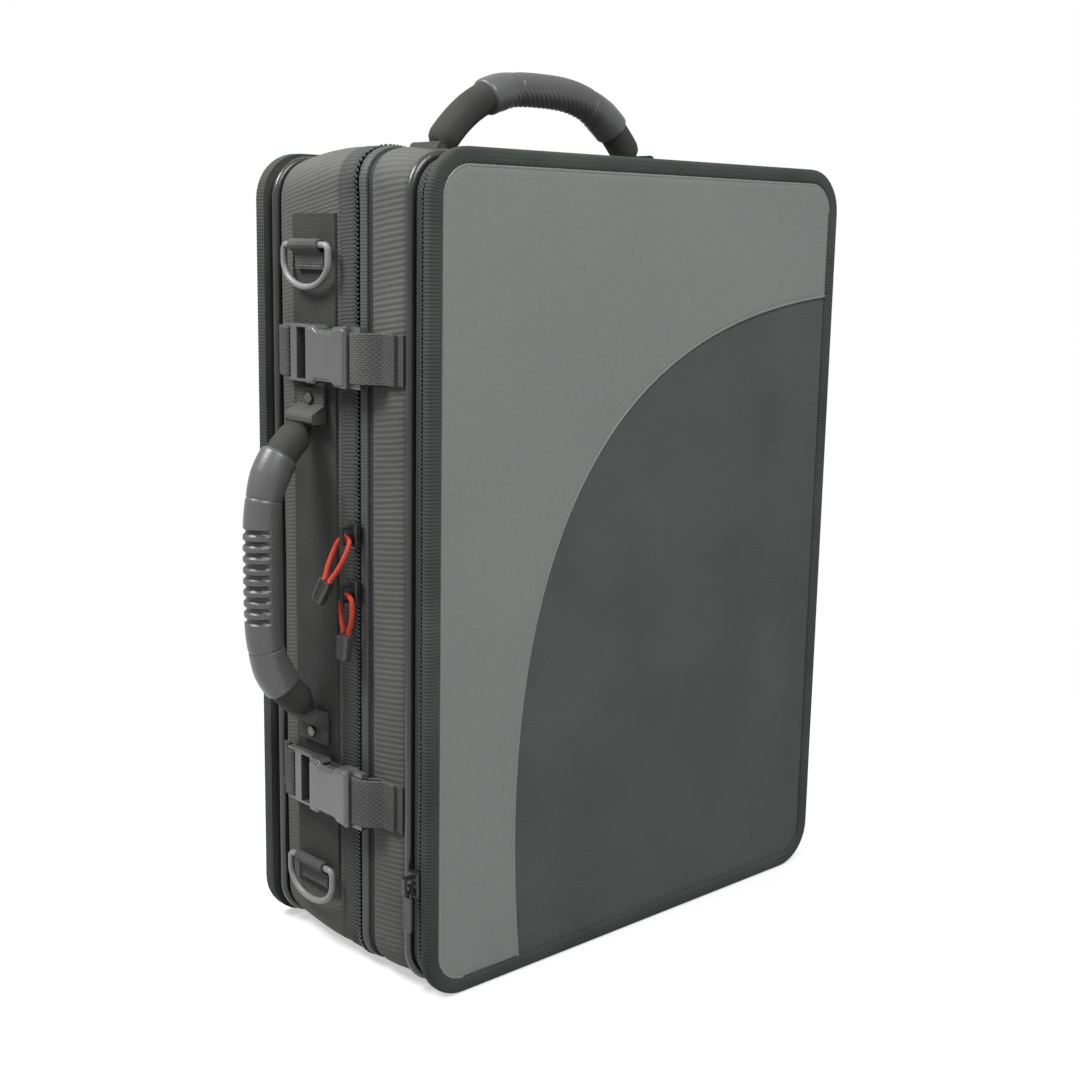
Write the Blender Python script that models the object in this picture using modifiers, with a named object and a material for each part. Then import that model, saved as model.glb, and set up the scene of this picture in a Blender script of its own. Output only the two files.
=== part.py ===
"""Soft-sided double clarinet case, standing on its short end.

The front faces -Y, the side with the handle and the latches faces -X, and the hinges are at +X.
Depths are measured from the front face backwards, and "out" is measured from a wall outwards.
"""

import math

import bmesh
import bpy
from mathutils import Matrix, Vector

MM = 0.001

# Outer form
WIDTH = 304 * MM
HEIGHT = 420 * MM
DEPTH = 145 * MM
CORNER_RADIUS = 24 * MM
CORNER_STEPS = 6
WALL_INSET = 4 * MM
GAP = 0.3 * MM
OVERRUN = 2 * MM
FILLET_STEPS = 2
SHARP_ANGLE = math.radians(40)

# Bindings and boards of the front flap and the back
BINDING_FACE = 8 * MM
BINDING_THICK = 1.2 * MM
BINDING_EDGE = 1.5 * MM
FLAP_BINDING_DEPTH = 5.5 * MM
BACK_BINDING_DEPTH = 8 * MM
COVER_THICK = 0.8 * MM
BOARD_THICK = 3.6 * MM

# Seam between the leather and the nylon of the front, from the right edge to the bottom edge
SEAM_DROP = 72 * MM
SEAM_MARGIN = 62 * MM
SEAM_RIGHT_Z = HEIGHT - SEAM_DROP
SEAM_BOTTOM_X = SEAM_MARGIN - WIDTH / 2
SEAM_PULL_RIGHT = (10 * MM, 336 * MM)
SEAM_PULL_BOTTOM = (-118 * MM, 281 * MM)
SEAM_STEPS = 18

# Walls, zips and piping
POCKET_PART = 10.5 * MM
POCKET_TAPE_END = 15.7 * MM
LID_FRONT = 16 * MM
LID_WALL_START = 22.4 * MM
MAIN_PART = 61 * MM
LID_TAPE_WIDTH = 11 * MM
BACK_TAPE_WIDTH = 14.2 * MM
BACK_PIPING_SPACE = 8.5 * MM
LID_WALL_END = MAIN_PART - LID_TAPE_WIDTH
BACK_WALL_START = MAIN_PART + BACK_TAPE_WIDTH
SHELL_END = DEPTH - BACK_BINDING_DEPTH - GAP
BACK_WALL_END = SHELL_END - BACK_PIPING_SPACE
PIPING_STEP = 3 * MM
WALL_THICK = 5.5 * MM
PIPING_RADIUS = 2.4 * MM
PIPING_INSET = 0.1 * MM
TAPE_THICK = 1.6 * MM
TAPE_SINK = 0.6 * MM
COIL_WIDTH = 2.4 * MM
COIL_PROUD = 1.2 * MM
ZIP_RUN_ON = 12 * MM
LID_PANEL_THICK = 4 * MM

# Lining and instrument blocks
LID_PAD_THICK = 9 * MM
LID_PAD_MARGIN = 60 * MM
LID_PAD_RIGHT = WIDTH / 2 - LID_PAD_MARGIN
BLOCK_FRONT_DROP = 1.5 * MM
BLOCK_SPLIT_Z = 136 * MM
JOINT_CHANNEL_RADIUS = 20 * MM
JOINT_CHANNEL_AXIS = 15 * MM
JOINT_CHANNELS_MARGIN = 76 * MM
JOINT_CHANNEL_MARGIN = 43 * MM
JOINT_CHANNEL_ENDS = 168 * MM
JOINT_CHANNEL_COUNT = 4
JOINT_CHANNEL_PITCH = (WIDTH - JOINT_CHANNELS_MARGIN) / JOINT_CHANNEL_COUNT
JOINT_CHANNEL_FIRST_X = JOINT_CHANNEL_MARGIN - WIDTH / 2
JOINT_CHANNEL_LENGTH = HEIGHT - JOINT_CHANNEL_ENDS
BELL_RADIUS = 41 * MM
BELL_AXIS = 27 * MM
BELL_LENGTH = 104 * MM
BELL_MARGIN = 60 * MM
BELL_FIRST_X = BELL_MARGIN - WIDTH / 2
BELL_PITCH = 90 * MM
BELL_COUNT = 2
SMALL_POCKET_RADIUS = 15 * MM
SMALL_POCKET_AXIS = 12 * MM
SMALL_POCKET_LENGTH = 76 * MM
SMALL_POCKET_MARGIN = 58 * MM
SMALL_POCKET_X = WIDTH / 2 - SMALL_POCKET_MARGIN
SMALL_POCKET_FIRST_Z = 42 * MM
SMALL_POCKET_PITCH = 42 * MM
SMALL_POCKET_COUNT = 2
BLOCK_MARGIN = 8 * MM
TRAY_WIDTH = 36 * MM
TRAY_DEPTH = 52 * MM
TRAY_MARGIN = 16 * MM
TRAY_RIGHT = WIDTH / 2 - TRAY_MARGIN
TRAY_TOP_MARGIN = 12 * MM
TRAY_LID_THICK = 3 * MM
TRAY_LID_OVERLAP = 0.8 * MM
TRAY_TAB_WIDTH = 16 * MM
TRAY_TAB_LENGTH = 9 * MM
TRAY_TAB_THICK = 1.2 * MM
CHANNEL_SIDES = 20

# Vertical webbing on the latch side, and the line that its fittings share
FITTING_SHIFT = 5.2 * MM
FITTING_DEPTH = (BACK_WALL_START + BACK_WALL_END) / 2 - FITTING_SHIFT
BAND_WIDTH = 37 * MM
SIDE_HANDLE_DROP = 1.5 * MM
SIDE_HANDLE_Z = HEIGHT / 2 - SIDE_HANDLE_DROP
WEBBING_THICK = 1.3 * MM
WEBBING_WIDTH = 24.8 * MM

# Rings for the shoulder strap
RING_HALF_WIDTH = 19.2 * MM
RING_STRAIGHT = 8 * MM
RING_DROP = 21 * MM
RING_WIRE = 1.7 * MM
RING_OUT = 5.9 * MM
RING_UPPER_RISE = 165 * MM
RING_LOWER_DROP = 161 * MM
RING_HEIGHTS = {
    "upper": SIDE_HANDLE_Z + RING_UPPER_RISE,
    "lower": SIDE_HANDLE_Z - RING_LOWER_DROP,
}
RING_TAB_TAIL = 12 * MM
TAB_WRAP_QUARTERS = 4.78
RING_ARC_STEPS = 12

# Side-release buckles
BUCKLE_UPPER_RISE = 111.5 * MM
BUCKLE_LOWER_DROP = 113 * MM
BUCKLE_HEIGHTS = {
    "upper": SIDE_HANDLE_Z + BUCKLE_UPPER_RISE,
    "lower": SIDE_HANDLE_Z - BUCKLE_LOWER_DROP,
}
BUCKLE_HALF = 14.5 * MM
BUCKLE_END_HALF = 15.3 * MM
MOUTH_SETBACK = 8.5 * MM
SOCKET_BODY = 33.4 * MM
SOCKET_SLOT = 3 * MM
SOCKET_BAR = 5.6 * MM
SOCKET_MOUTH = FITTING_DEPTH - MOUTH_SETBACK
SOCKET_BODY_END = SOCKET_MOUTH - SOCKET_BODY
SOCKET_BAR_START = SOCKET_BODY_END - SOCKET_SLOT
SOCKET_BAR_END = SOCKET_BAR_START - SOCKET_BAR
SOCKET_LOW = 4.5 * MM
SOCKET_HIGH = 12.5 * MM
SOCKET_WALL = 1.2 * MM
SOCKET_SIDE_WALL = 2.2 * MM
CAVITY = 28 * MM
MOUTH_RIM = 9 * MM
WINDOW = 13 * MM
SOCKET_CAVITY_END = SOCKET_MOUTH - CAVITY
WINDOW_START = SOCKET_MOUTH - MOUTH_RIM
WINDOW_END = WINDOW_START - WINDOW
WINDOW_WAIST = 1.7 * MM
BAR_LOW = 6.2 * MM
BAR_HIGH = 9.8 * MM
PLUG_LOW = 5.5 * MM
PLUG_HIGH = 10.5 * MM
PLUG_BASE = 2.2 * MM
PLUG_SLOT = 8 * MM
PLUG_NECK = 6 * MM
PLUG_WEB_SLOT = 3.2 * MM
PLUG_BAR = 4 * MM
RAIL = 1.6 * MM
TONGUE_HALF = 2.6 * MM
TONGUE_LENGTH = 18 * MM
ARM_LOW = 7.6 * MM
ARM_LENGTH = 26 * MM
ARM_THICK = 2.6 * MM
ARM_ROOT = 10 * MM
BARB_START = 10 * MM
BARB_END = 20 * MM
STRAP_START = 22.9 * MM
STRAP_TAIL_SHARE = 0.37
STRAP_TAIL_SETBACK = 4.2 * MM
LATCH_STRAP_TAIL = BACK_WALL_END - STRAP_TAIL_SETBACK

# Handles
HANDLE_TUBE_RADIUS = 8.6 * MM
HANDLE_CORE_RADIUS = 6 * MM
HANDLE_END_RADIUS = 4.2 * MM
HANDLE_END_OUT = 8.2 * MM
HANDLE_HALF_SPAN = 73 * MM
HANDLE_END_RUN = 3 * MM
HANDLE_POINTS = 24
GRIP_RADIUS = 9.6 * MM
GRIP_END_RADIUS = 10.4 * MM
GRIP_LIP = 1.5 * MM
GRIP_SHOULDER = 10 * MM
SIDE_GROOVE_COUNT = 9
TOP_GROOVE_COUNT = 7
GROOVE_PITCH = 7.2 * MM
GROOVE_WIDTH = 3.2 * MM
GROOVE_SINK = 1.1 * MM
SIDE_HANDLE_RISE = 34.5 * MM
SIDE_HANDLE_POWER = 4
SIDE_GRIP_HALF = 60 * MM
TOP_HANDLE_X = 3 * MM
TOP_HANDLE_RISE = 43 * MM
TOP_HANDLE_POWER = 2.8
TOP_GRIP_HALF = 49 * MM
TOP_GRIP_SHIFT = 9 * MM
ANCHOR_LENGTH = 17 * MM
ANCHOR_WIDTH = 24 * MM
ANCHOR_HIGH = 11.5 * MM
ANCHOR_HEAD = 4 * MM
ANCHOR_PATCH = 4 * MM
RIVET_RADIUS = 3 * MM
RIVET_HIGH = 1.4 * MM
RIVET_SETBACK = 5 * MM

# Zip sliders and their pulls
SLIDER_RISE = 21 * MM
SLIDER_SPACING = 29.5 * MM
UPPER_SLIDER_Z = HEIGHT / 2 + SLIDER_RISE
SLIDER_HEIGHTS = {"upper": UPPER_SLIDER_Z, "lower": UPPER_SLIDER_Z - SLIDER_SPACING}
SLIDER_LENGTH = 13 * MM
SLIDER_WIDTH = 9 * MM
SLIDER_THICK = 3.6 * MM
SLIDER_BEVEL = 0.8 * MM
BAIL_LENGTH = 9 * MM
BAIL_WIDTH = 3 * MM
BAIL_HIGH = 5.8 * MM
BAIL_WALL = 1.2 * MM
CORD_RADIUS = 1.3 * MM
CORD_BULGE = 4.9 * MM
CORD_PLAY = 0.95 * MM
CORD_SHARES = (
    (0, 0),
    (0.42, 0.005),
    (0.77, 0.06),
    (0.96, 0.2),
    (1, 0.45),
    (0.8, 0.75),
    (0.48, 0.92),
    (0.48, 1),
)
PULL_LENGTH = 13 * MM
PULL_WIDTH = 8.5 * MM
PULL_THICK = 5 * MM
PULL_BEVEL = 1.2 * MM
PULL_TAPER_SHARE = 0.8
PULL_LEANS = {
    "upper": (8.5 * MM, 5.5 * MM, 22 * MM),
    "lower": (-0.5 * MM, 1.5 * MM, 20 * MM),
}
POCKET_SLIDER_Z = 62 * MM
POCKET_TAB_LENGTH = 24 * MM
POCKET_TAB_WIDTH = 6.5 * MM
POCKET_TAB_THICK = 2 * MM
PIN_SHARE = 0.85

# The origin is under the middle of the whole part, the side handle included
CASE_X = (SIDE_HANDLE_RISE + GRIP_RADIUS - WALL_INSET) / 2

PARTS = bpy.data.collections.new("clarinet_case")
CUTTERS = bpy.data.collections.new("cutters")
FINISHES = {
    "leather": ((0.20, 0.21, 0.205), 0.5, 0.0),
    "nylon": ((0.085, 0.09, 0.09), 0.85, 0.0),
    "binding": ((0.07, 0.085, 0.078), 0.8, 0.0),
    "ribbed_nylon": ((0.11, 0.112, 0.108), 0.8, 0.0),
    "webbing": ((0.045, 0.046, 0.046), 0.85, 0.0),
    "piping": ((0.16, 0.165, 0.16), 0.55, 0.0),
    "zip_tape": ((0.06, 0.062, 0.065), 0.7, 0.0),
    "plastic": ((0.13, 0.13, 0.132), 0.45, 0.0),
    "rubber": ((0.15, 0.152, 0.152), 0.55, 0.0),
    "black_metal": ((0.02, 0.02, 0.022), 0.35, 0.6),
    "rivet_metal": ((0.5, 0.5, 0.48), 0.4, 0.9),
    "red_cord": ((0.75, 0.07, 0.03), 0.6, 0.0),
    "plush": ((0.03, 0.03, 0.034), 1.0, 0.0),
    "board": ((0.08, 0.08, 0.08), 0.9, 0.0),
}


def clear_scene():
    for obj in list(bpy.data.objects):
        bpy.data.objects.remove(obj, do_unlink=True)
    bpy.context.scene.collection.children.link(PARTS)
    bpy.context.scene.collection.children.link(CUTTERS)


def make_materials():
    made = {}
    for name, (colour, roughness, metallic) in FINISHES.items():
        made[name] = bpy.data.materials.new(name)
        made[name].use_nodes = True
        shader = made[name].node_tree.nodes["Principled BSDF"]
        shader.inputs["Base Color"].default_value = (*colour, 1)
        shader.inputs["Roughness"].default_value = roughness
        shader.inputs["Metallic"].default_value = metallic
    return made


def pivot(name, place, parent):
    """An empty on a joint's axis, at a place in the case's own coordinates."""
    empty = bpy.data.objects.new(name, None)
    empty.parent = parent
    empty.location = Vector(place) - Vector(parent["place"] if parent else (0, 0, 0))
    empty["place"] = list(place)
    PARTS.objects.link(empty)
    return empty


def finish(obj, name, finish_name, body):
    """Names a piece, gives it its material and hangs it on the empty of its body."""
    obj.name = name
    obj.data.materials.clear()
    obj.data.materials.append(MATERIALS[finish_name])
    for holder in list(obj.users_collection):
        holder.objects.unlink(obj)
    PARTS.objects.link(obj)
    obj.parent = body
    obj.matrix_parent_inverse = Matrix.Translation(-Vector(body["place"]))
    return obj


def as_cutter(obj):
    for holder in list(obj.users_collection):
        holder.objects.unlink(obj)
    CUTTERS.objects.link(obj)
    obj.hide_render = True
    obj.display_type = "WIRE"
    return obj


def combine(obj, other, operation):
    """Applies one exact Boolean and removes the other object."""
    boolean = obj.modifiers.new(operation.lower(), "BOOLEAN")
    boolean.operation = operation
    boolean.object = as_cutter(other)
    boolean.solver = "EXACT"
    graph = bpy.context.evaluated_depsgraph_get()
    mesh = bpy.data.meshes.new_from_object(obj.evaluated_get(graph))
    obj.modifiers.clear()
    obj.data = mesh
    bpy.data.objects.remove(other, do_unlink=True)
    return obj


def bevel(obj, width):
    """Rounds the sharp edges."""
    modifier = obj.modifiers.new("edges", "BEVEL")
    modifier.width = width
    modifier.segments = FILLET_STEPS
    modifier.limit_method = "ANGLE"
    modifier.angle_limit = SHARP_ANGLE
    modifier.use_clamp_overlap = True
    graph = bpy.context.evaluated_depsgraph_get()
    mesh = bpy.data.meshes.new_from_object(obj.evaluated_get(graph))
    obj.modifiers.clear()
    obj.data = mesh
    return obj


def as_mesh(obj):
    """Turns a curve object into a mesh object with welded caps, in the same place."""
    bpy.context.view_layer.update()
    graph = bpy.context.evaluated_depsgraph_get()
    mesh = bpy.data.meshes.new_from_object(obj.evaluated_get(graph))
    body = bmesh.new()
    body.from_mesh(mesh)
    bmesh.ops.remove_doubles(body, verts=body.verts, dist=MM / 1000)
    body.to_mesh(mesh)
    body.free()
    made = bpy.data.objects.new(obj.name, mesh)
    made.matrix_world = obj.matrix_world
    bpy.context.scene.collection.objects.link(made)
    bpy.data.objects.remove(obj, do_unlink=True)
    return made


def depth(value):
    return value - DEPTH / 2


def side_point(out, depth_value, z):
    """A point off the latch-side wall."""
    return Vector((-(WIDTH / 2 - WALL_INSET) - out, depth(depth_value), z))


def top_point(x, depth_value, out):
    """A point off the top wall."""
    return Vector((x, depth(depth_value), HEIGHT - WALL_INSET + out))


def outline(inset, quarters=(0, 1, 2, 3)):
    """The case's rounded outline moved inwards, anticlockwise from the right-hand side."""
    radius = CORNER_RADIUS - inset
    reach = WIDTH / 2 - CORNER_RADIUS
    low, high = CORNER_RADIUS, HEIGHT - CORNER_RADIUS
    centres = ((reach, high), (-reach, high), (-reach, low), (reach, low))
    points = []
    for quarter in quarters:
        x, z = centres[quarter]
        for step in range(CORNER_STEPS + 1):
            angle = (quarter + step / CORNER_STEPS) * math.pi / 2
            points.append((x + radius * math.cos(angle), z + radius * math.sin(angle)))
    return points


def three_sides(inset):
    """The path of a zip: over the top, down the latch side and along the bottom."""
    x = WIDTH / 2 - inset
    low, high = CORNER_RADIUS + ZIP_RUN_ON, HEIGHT - CORNER_RADIUS - ZIP_RUN_ON
    return [(x, high)] + outline(inset) + [(x, low)]


def hinge_side(inset):
    """The straight path between the two ends of a zip."""
    x = WIDTH / 2 - inset
    low = CORNER_RADIUS + ZIP_RUN_ON + GAP
    high = HEIGHT - CORNER_RADIUS - ZIP_RUN_ON - GAP
    return [(x, low), (x, high)]


def poly_curve(name, points, cyclic, flat, smooth=False):
    curve = bpy.data.curves.new(name, "CURVE")
    curve.dimensions = "2D" if flat else "3D"
    spline = curve.splines.new("POLY")
    spline.points.add(len(points) - 1)
    for knot, point in zip(spline.points, points):
        knot.co = (*point, 0, 1) if flat else (*point, 1)
    spline.use_cyclic_u = cyclic
    spline.use_smooth = smooth
    obj = bpy.data.objects.new(name, curve)
    bpy.context.scene.collection.objects.link(obj)
    return obj


def signed_area(points):
    pairs = zip(points, points[1:] + points[:1])
    return sum(a[0] * b[1] - b[0] * a[1] for a, b in pairs) / 2


def sweep(path, cyclic, profile):
    """A flat path carrying a closed profile, whose first value is to the left of the path.

    Blender lays a profile to the left of a closed flat curve and to the right of an open one.
    """
    if not cyclic:
        profile = [(-left, up) for left, up in profile]
    if signed_area(profile) > 0:
        profile = profile[::-1]
    section = poly_curve("section", profile, True, True)
    rail = poly_curve("rail", path, cyclic, True)
    rail.data.fill_mode = "NONE"
    rail.data.bevel_mode = "OBJECT"
    rail.data.bevel_object = section
    rail.data.use_fill_caps = not cyclic
    made = as_mesh(rail)
    bpy.data.objects.remove(section, do_unlink=True)
    return made


def band(path, cyclic, profile):
    """A band round the case; the profile is (inwards, depth) from the path."""
    made = sweep(path, cyclic, [(inward, -depth(deep)) for inward, deep in profile])
    made.rotation_euler = (math.pi / 2, 0, 0)
    return made


def plate(points, near, far):
    """A flat outline in the front's plane, between two depths."""
    shape = poly_curve("outline", points, True, True)
    shape.data.fill_mode = "BOTH"
    shape.data.extrude = (far - near) / 2
    made = as_mesh(shape)
    made.rotation_euler = (math.pi / 2, 0, 0)
    made.location.y = depth((near + far) / 2)
    return made


def box(low, high):
    """A box between two corners."""
    bpy.ops.mesh.primitive_cube_add(size=1)
    obj = bpy.context.active_object
    low, high = Vector(low), Vector(high)
    size = [abs(a - b) for a, b in zip(low, high)]
    obj.data.transform(Matrix.Translation((low + high) / 2) @ Matrix.Diagonal((*size, 1)))
    return obj


def side_box(outs, depths, heights):
    a = side_point(outs[1], depths[0], heights[0])
    b = side_point(outs[0], depths[1], heights[1])
    return box(a, b)


def cylinder(start, end, radius, sides=CHANNEL_SIDES):
    start, end = Vector(start), Vector(end)
    bpy.ops.mesh.primitive_cylinder_add(vertices=sides, radius=radius, depth=(end - start).length)
    obj = bpy.context.active_object
    turn = Vector((0, 0, 1)).rotation_difference(end - start).to_matrix().to_4x4()
    obj.data.transform(Matrix.Translation((start + end) / 2) @ turn)
    return obj


def tube(points, radius, radii=None, cyclic=False, resolution=2):
    """A round tube through points, with a radius at each point where radii are given."""
    obj = poly_curve("tube", points, cyclic, False, smooth=True)
    obj.data.bevel_depth = radius
    obj.data.bevel_resolution = resolution
    obj.data.use_fill_caps = not cyclic
    for knot, value in zip(obj.data.splines[0].points, radii or [radius] * len(points)):
        knot.radius = value / radius
    return obj


def strip_section(thick, width):
    """A box section, centred on its path."""
    x, y = thick / 2, width / 2
    return [(-x, -y), (x, -y), (x, y), (-x, y)]


def side_strap(route, z):
    """Webbing that runs across the latch side; the route is (depth, out)."""
    path = [tuple(side_point(out, deep, 0).xy) for deep, out in route]
    made = sweep(path, False, strip_section(WEBBING_THICK, WEBBING_WIDTH))
    made.location.z = z
    return made


def hanging_strap(route, z):
    """Webbing that runs up and down the latch side; the route is (out, height)."""
    path = [(side_point(out, 0, 0).x, z + high) for out, high in route]
    made = sweep(path, False, strip_section(WEBBING_THICK, WEBBING_WIDTH))
    made.rotation_euler = (math.pi / 2, 0, 0)
    made.location.y = depth(FITTING_DEPTH)
    return made


def arc(centre, radius, start, end, steps):
    """Points on an arc, between two angles in quarter turns."""
    points = []
    for step in range(steps + 1):
        angle = (start + (end - start) * step / steps) * math.pi / 2
        points.append((centre[0] + radius * math.cos(angle), centre[1] + radius * math.sin(angle)))
    return points


def seam_points():
    """The seam of the front as one cubic curve, from the right edge to the bottom edge."""
    edge = BINDING_FACE + GAP
    knots = (
        Vector((WIDTH / 2 - edge, SEAM_RIGHT_Z)),
        Vector(SEAM_PULL_RIGHT),
        Vector(SEAM_PULL_BOTTOM),
        Vector((SEAM_BOTTOM_X, edge)),
    )
    points = []
    for step in range(SEAM_STEPS + 1):
        t = step / SEAM_STEPS
        shares = ((1 - t) ** 3, 3 * t * (1 - t) ** 2, 3 * t * t * (1 - t), t**3)
        points.append(tuple(sum((k * s for k, s in zip(knots, shares)), Vector((0, 0)))))
    return points


def tape(far, part, coil=False):
    """The section of a zip tape from its sewn edge to the parting line, with its half of the coil."""
    way = 1 if part > far else -1
    top, under = TAPE_SINK, TAPE_SINK + TAPE_THICK
    if not coil:
        return [(top, far), (under, far), (under, part), (top, part)]
    foot = part - way * COIL_WIDTH
    return [
        (top, far),
        (under, far),
        (under, part),
        (-COIL_PROUD / 2, part),
        (-COIL_PROUD, part - way * COIL_WIDTH / 3),
        (-COIL_PROUD / 2, foot),
        (top, foot),
    ]


def make_flap(body, lid):
    """The front flap: a bound board with a leather and a nylon cover, and half of the pocket's zip."""
    binding = [
        (0, 0),
        (BINDING_FACE, 0),
        (BINDING_FACE, BINDING_THICK),
        (BINDING_EDGE, BINDING_THICK),
        (BINDING_EDGE, FLAP_BINDING_DEPTH),
        (0, FLAP_BINDING_DEPTH),
    ]
    finish(band(outline(0), True, binding), "flap_binding", "binding", body)
    board_near = BINDING_THICK + GAP
    board = plate(outline(BINDING_EDGE + GAP), board_near, board_near + BOARD_THICK)
    finish(board, "flap_board", "board", body)

    edge = BINDING_FACE + GAP
    seam = seam_points()
    cover_near = board_near - GAP - COVER_THICK
    left = outline(edge, (0, 1, 2)) + seam[::-1]
    finish(plate(left, cover_near, cover_near + COVER_THICK), "leather_cover", "leather", body)
    shifted = [(x + GAP, z - GAP) for x, z in seam[1:-1]]
    last = (seam[-1][0] + GAP, seam[-1][1])
    right = [last] + outline(edge, (3,)) + [(seam[0][0], seam[0][1] - GAP)] + shifted
    finish(plate(right, cover_near, cover_near + COVER_THICK), "nylon_cover", "nylon", body)

    near = board_near + BOARD_THICK + GAP
    split = POCKET_PART - GAP / 2
    front = band(three_sides(WALL_INSET), False, tape(near, split, True))
    finish(front, "pocket_zip_front", "zip_tape", body)
    strip = band(hinge_side(WALL_INSET), False, tape(near, split))
    finish(strip, "pocket_hinge_front", "webbing", body)

    split = POCKET_PART + GAP / 2
    rear = band(three_sides(WALL_INSET), False, tape(POCKET_TAPE_END, split, True))
    finish(rear, "pocket_zip_rear", "zip_tape", lid)
    strip = band(hinge_side(WALL_INSET), False, tape(POCKET_TAPE_END, split))
    finish(strip, "pocket_hinge_rear", "webbing", lid)


def make_lid(body):
    """The lid: its wall, front panel, piping, lining and half of the main zip."""
    wall = [
        (PIPING_STEP, LID_FRONT),
        (WALL_THICK, LID_FRONT),
        (WALL_THICK, MAIN_PART - GAP),
        (PIPING_STEP, MAIN_PART - GAP),
        (PIPING_STEP, LID_WALL_END),
        (0, LID_WALL_END),
        (0, LID_WALL_START),
        (PIPING_STEP, LID_WALL_START),
    ]
    finish(band(outline(WALL_INSET), True, wall), "lid_wall", "ribbed_nylon", body)
    inside = WALL_INSET + WALL_THICK + GAP
    panel = plate(outline(inside), LID_FRONT, LID_FRONT + LID_PANEL_THICK)
    finish(panel, "lid_panel", "nylon", body)
    make_piping("lid_piping", LID_FRONT + (LID_WALL_START - LID_FRONT) / 2, body)
    split = MAIN_PART - GAP / 2
    main = band(three_sides(WALL_INSET), False, tape(LID_WALL_END + GAP, split, True))
    finish(main, "main_zip_lid", "zip_tape", body)
    strip = band(hinge_side(WALL_INSET), False, tape(LID_WALL_END + GAP, split))
    finish(strip, "hinge_strip_lid", "webbing", body)
    near = LID_FRONT + LID_PANEL_THICK + GAP
    reach = WIDTH / 2 - inside - GAP
    corner = CORNER_RADIUS - inside
    low, high = inside + GAP, HEIGHT - inside - GAP
    pad = plate(rounded_box((-reach, low), (LID_PAD_RIGHT, high), corner), near, near + LID_PAD_THICK)
    finish(bevel(pad, LID_PAD_THICK / 3), "lid_pad", "plush", body)


def rounded_box(low, high, radius):
    """An anticlockwise box outline with round corners."""
    centres = (
        (high[0] - radius, high[1] - radius, 0),
        (low[0] + radius, high[1] - radius, 1),
        (low[0] + radius, low[1] + radius, 2),
        (high[0] - radius, low[1] + radius, 3),
    )
    points = []
    for x, y, start in centres:
        points += arc((x, y), radius, start, start + 1, FILLET_STEPS + 1)
    return points


def make_piping(name, middle, body):
    """A round cord sewn into the edge of a wall."""
    path = [(x, depth(middle), z) for x, z in outline(WALL_INSET + PIPING_INSET)]
    finish(as_mesh(tube(path, PIPING_RADIUS, cyclic=True, resolution=1)), name, "piping", body)


def make_back(body):
    """The back shell: its wall, board, cover, binding, piping and half of the main zip."""
    wall = [
        (PIPING_STEP, SHELL_END),
        (WALL_THICK, SHELL_END),
        (WALL_THICK, MAIN_PART + GAP),
        (PIPING_STEP, MAIN_PART + GAP),
        (PIPING_STEP, BACK_WALL_START),
        (0, BACK_WALL_START),
        (0, BACK_WALL_END),
        (PIPING_STEP, BACK_WALL_END),
    ]
    finish(band(outline(WALL_INSET), True, wall), "back_wall", "ribbed_nylon", body)
    make_piping("back_piping", BACK_WALL_END + GAP + PIPING_RADIUS + GAP, body)
    split = MAIN_PART + GAP / 2
    main = band(three_sides(WALL_INSET), False, tape(BACK_WALL_START - GAP, split, True))
    finish(main, "main_zip_back", "zip_tape", body)
    strip = band(hinge_side(WALL_INSET), False, tape(BACK_WALL_START - GAP, split))
    finish(strip, "hinge_strip_back", "webbing", body)

    binding = [
        (0, DEPTH),
        (BINDING_FACE, DEPTH),
        (BINDING_FACE, DEPTH - BINDING_THICK),
        (BINDING_EDGE, DEPTH - BINDING_THICK),
        (BINDING_EDGE, DEPTH - BACK_BINDING_DEPTH),
        (0, DEPTH - BACK_BINDING_DEPTH),
    ]
    finish(band(outline(0), True, binding), "back_binding", "binding", body)
    board_far = DEPTH - BINDING_THICK - GAP
    board = plate(outline(BINDING_EDGE + GAP), SHELL_END + GAP, board_far)
    finish(board, "back_board", "board", body)
    cover = plate(outline(BINDING_FACE + GAP), board_far + GAP, DEPTH)
    finish(cover, "back_cover", "nylon", body)


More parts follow.
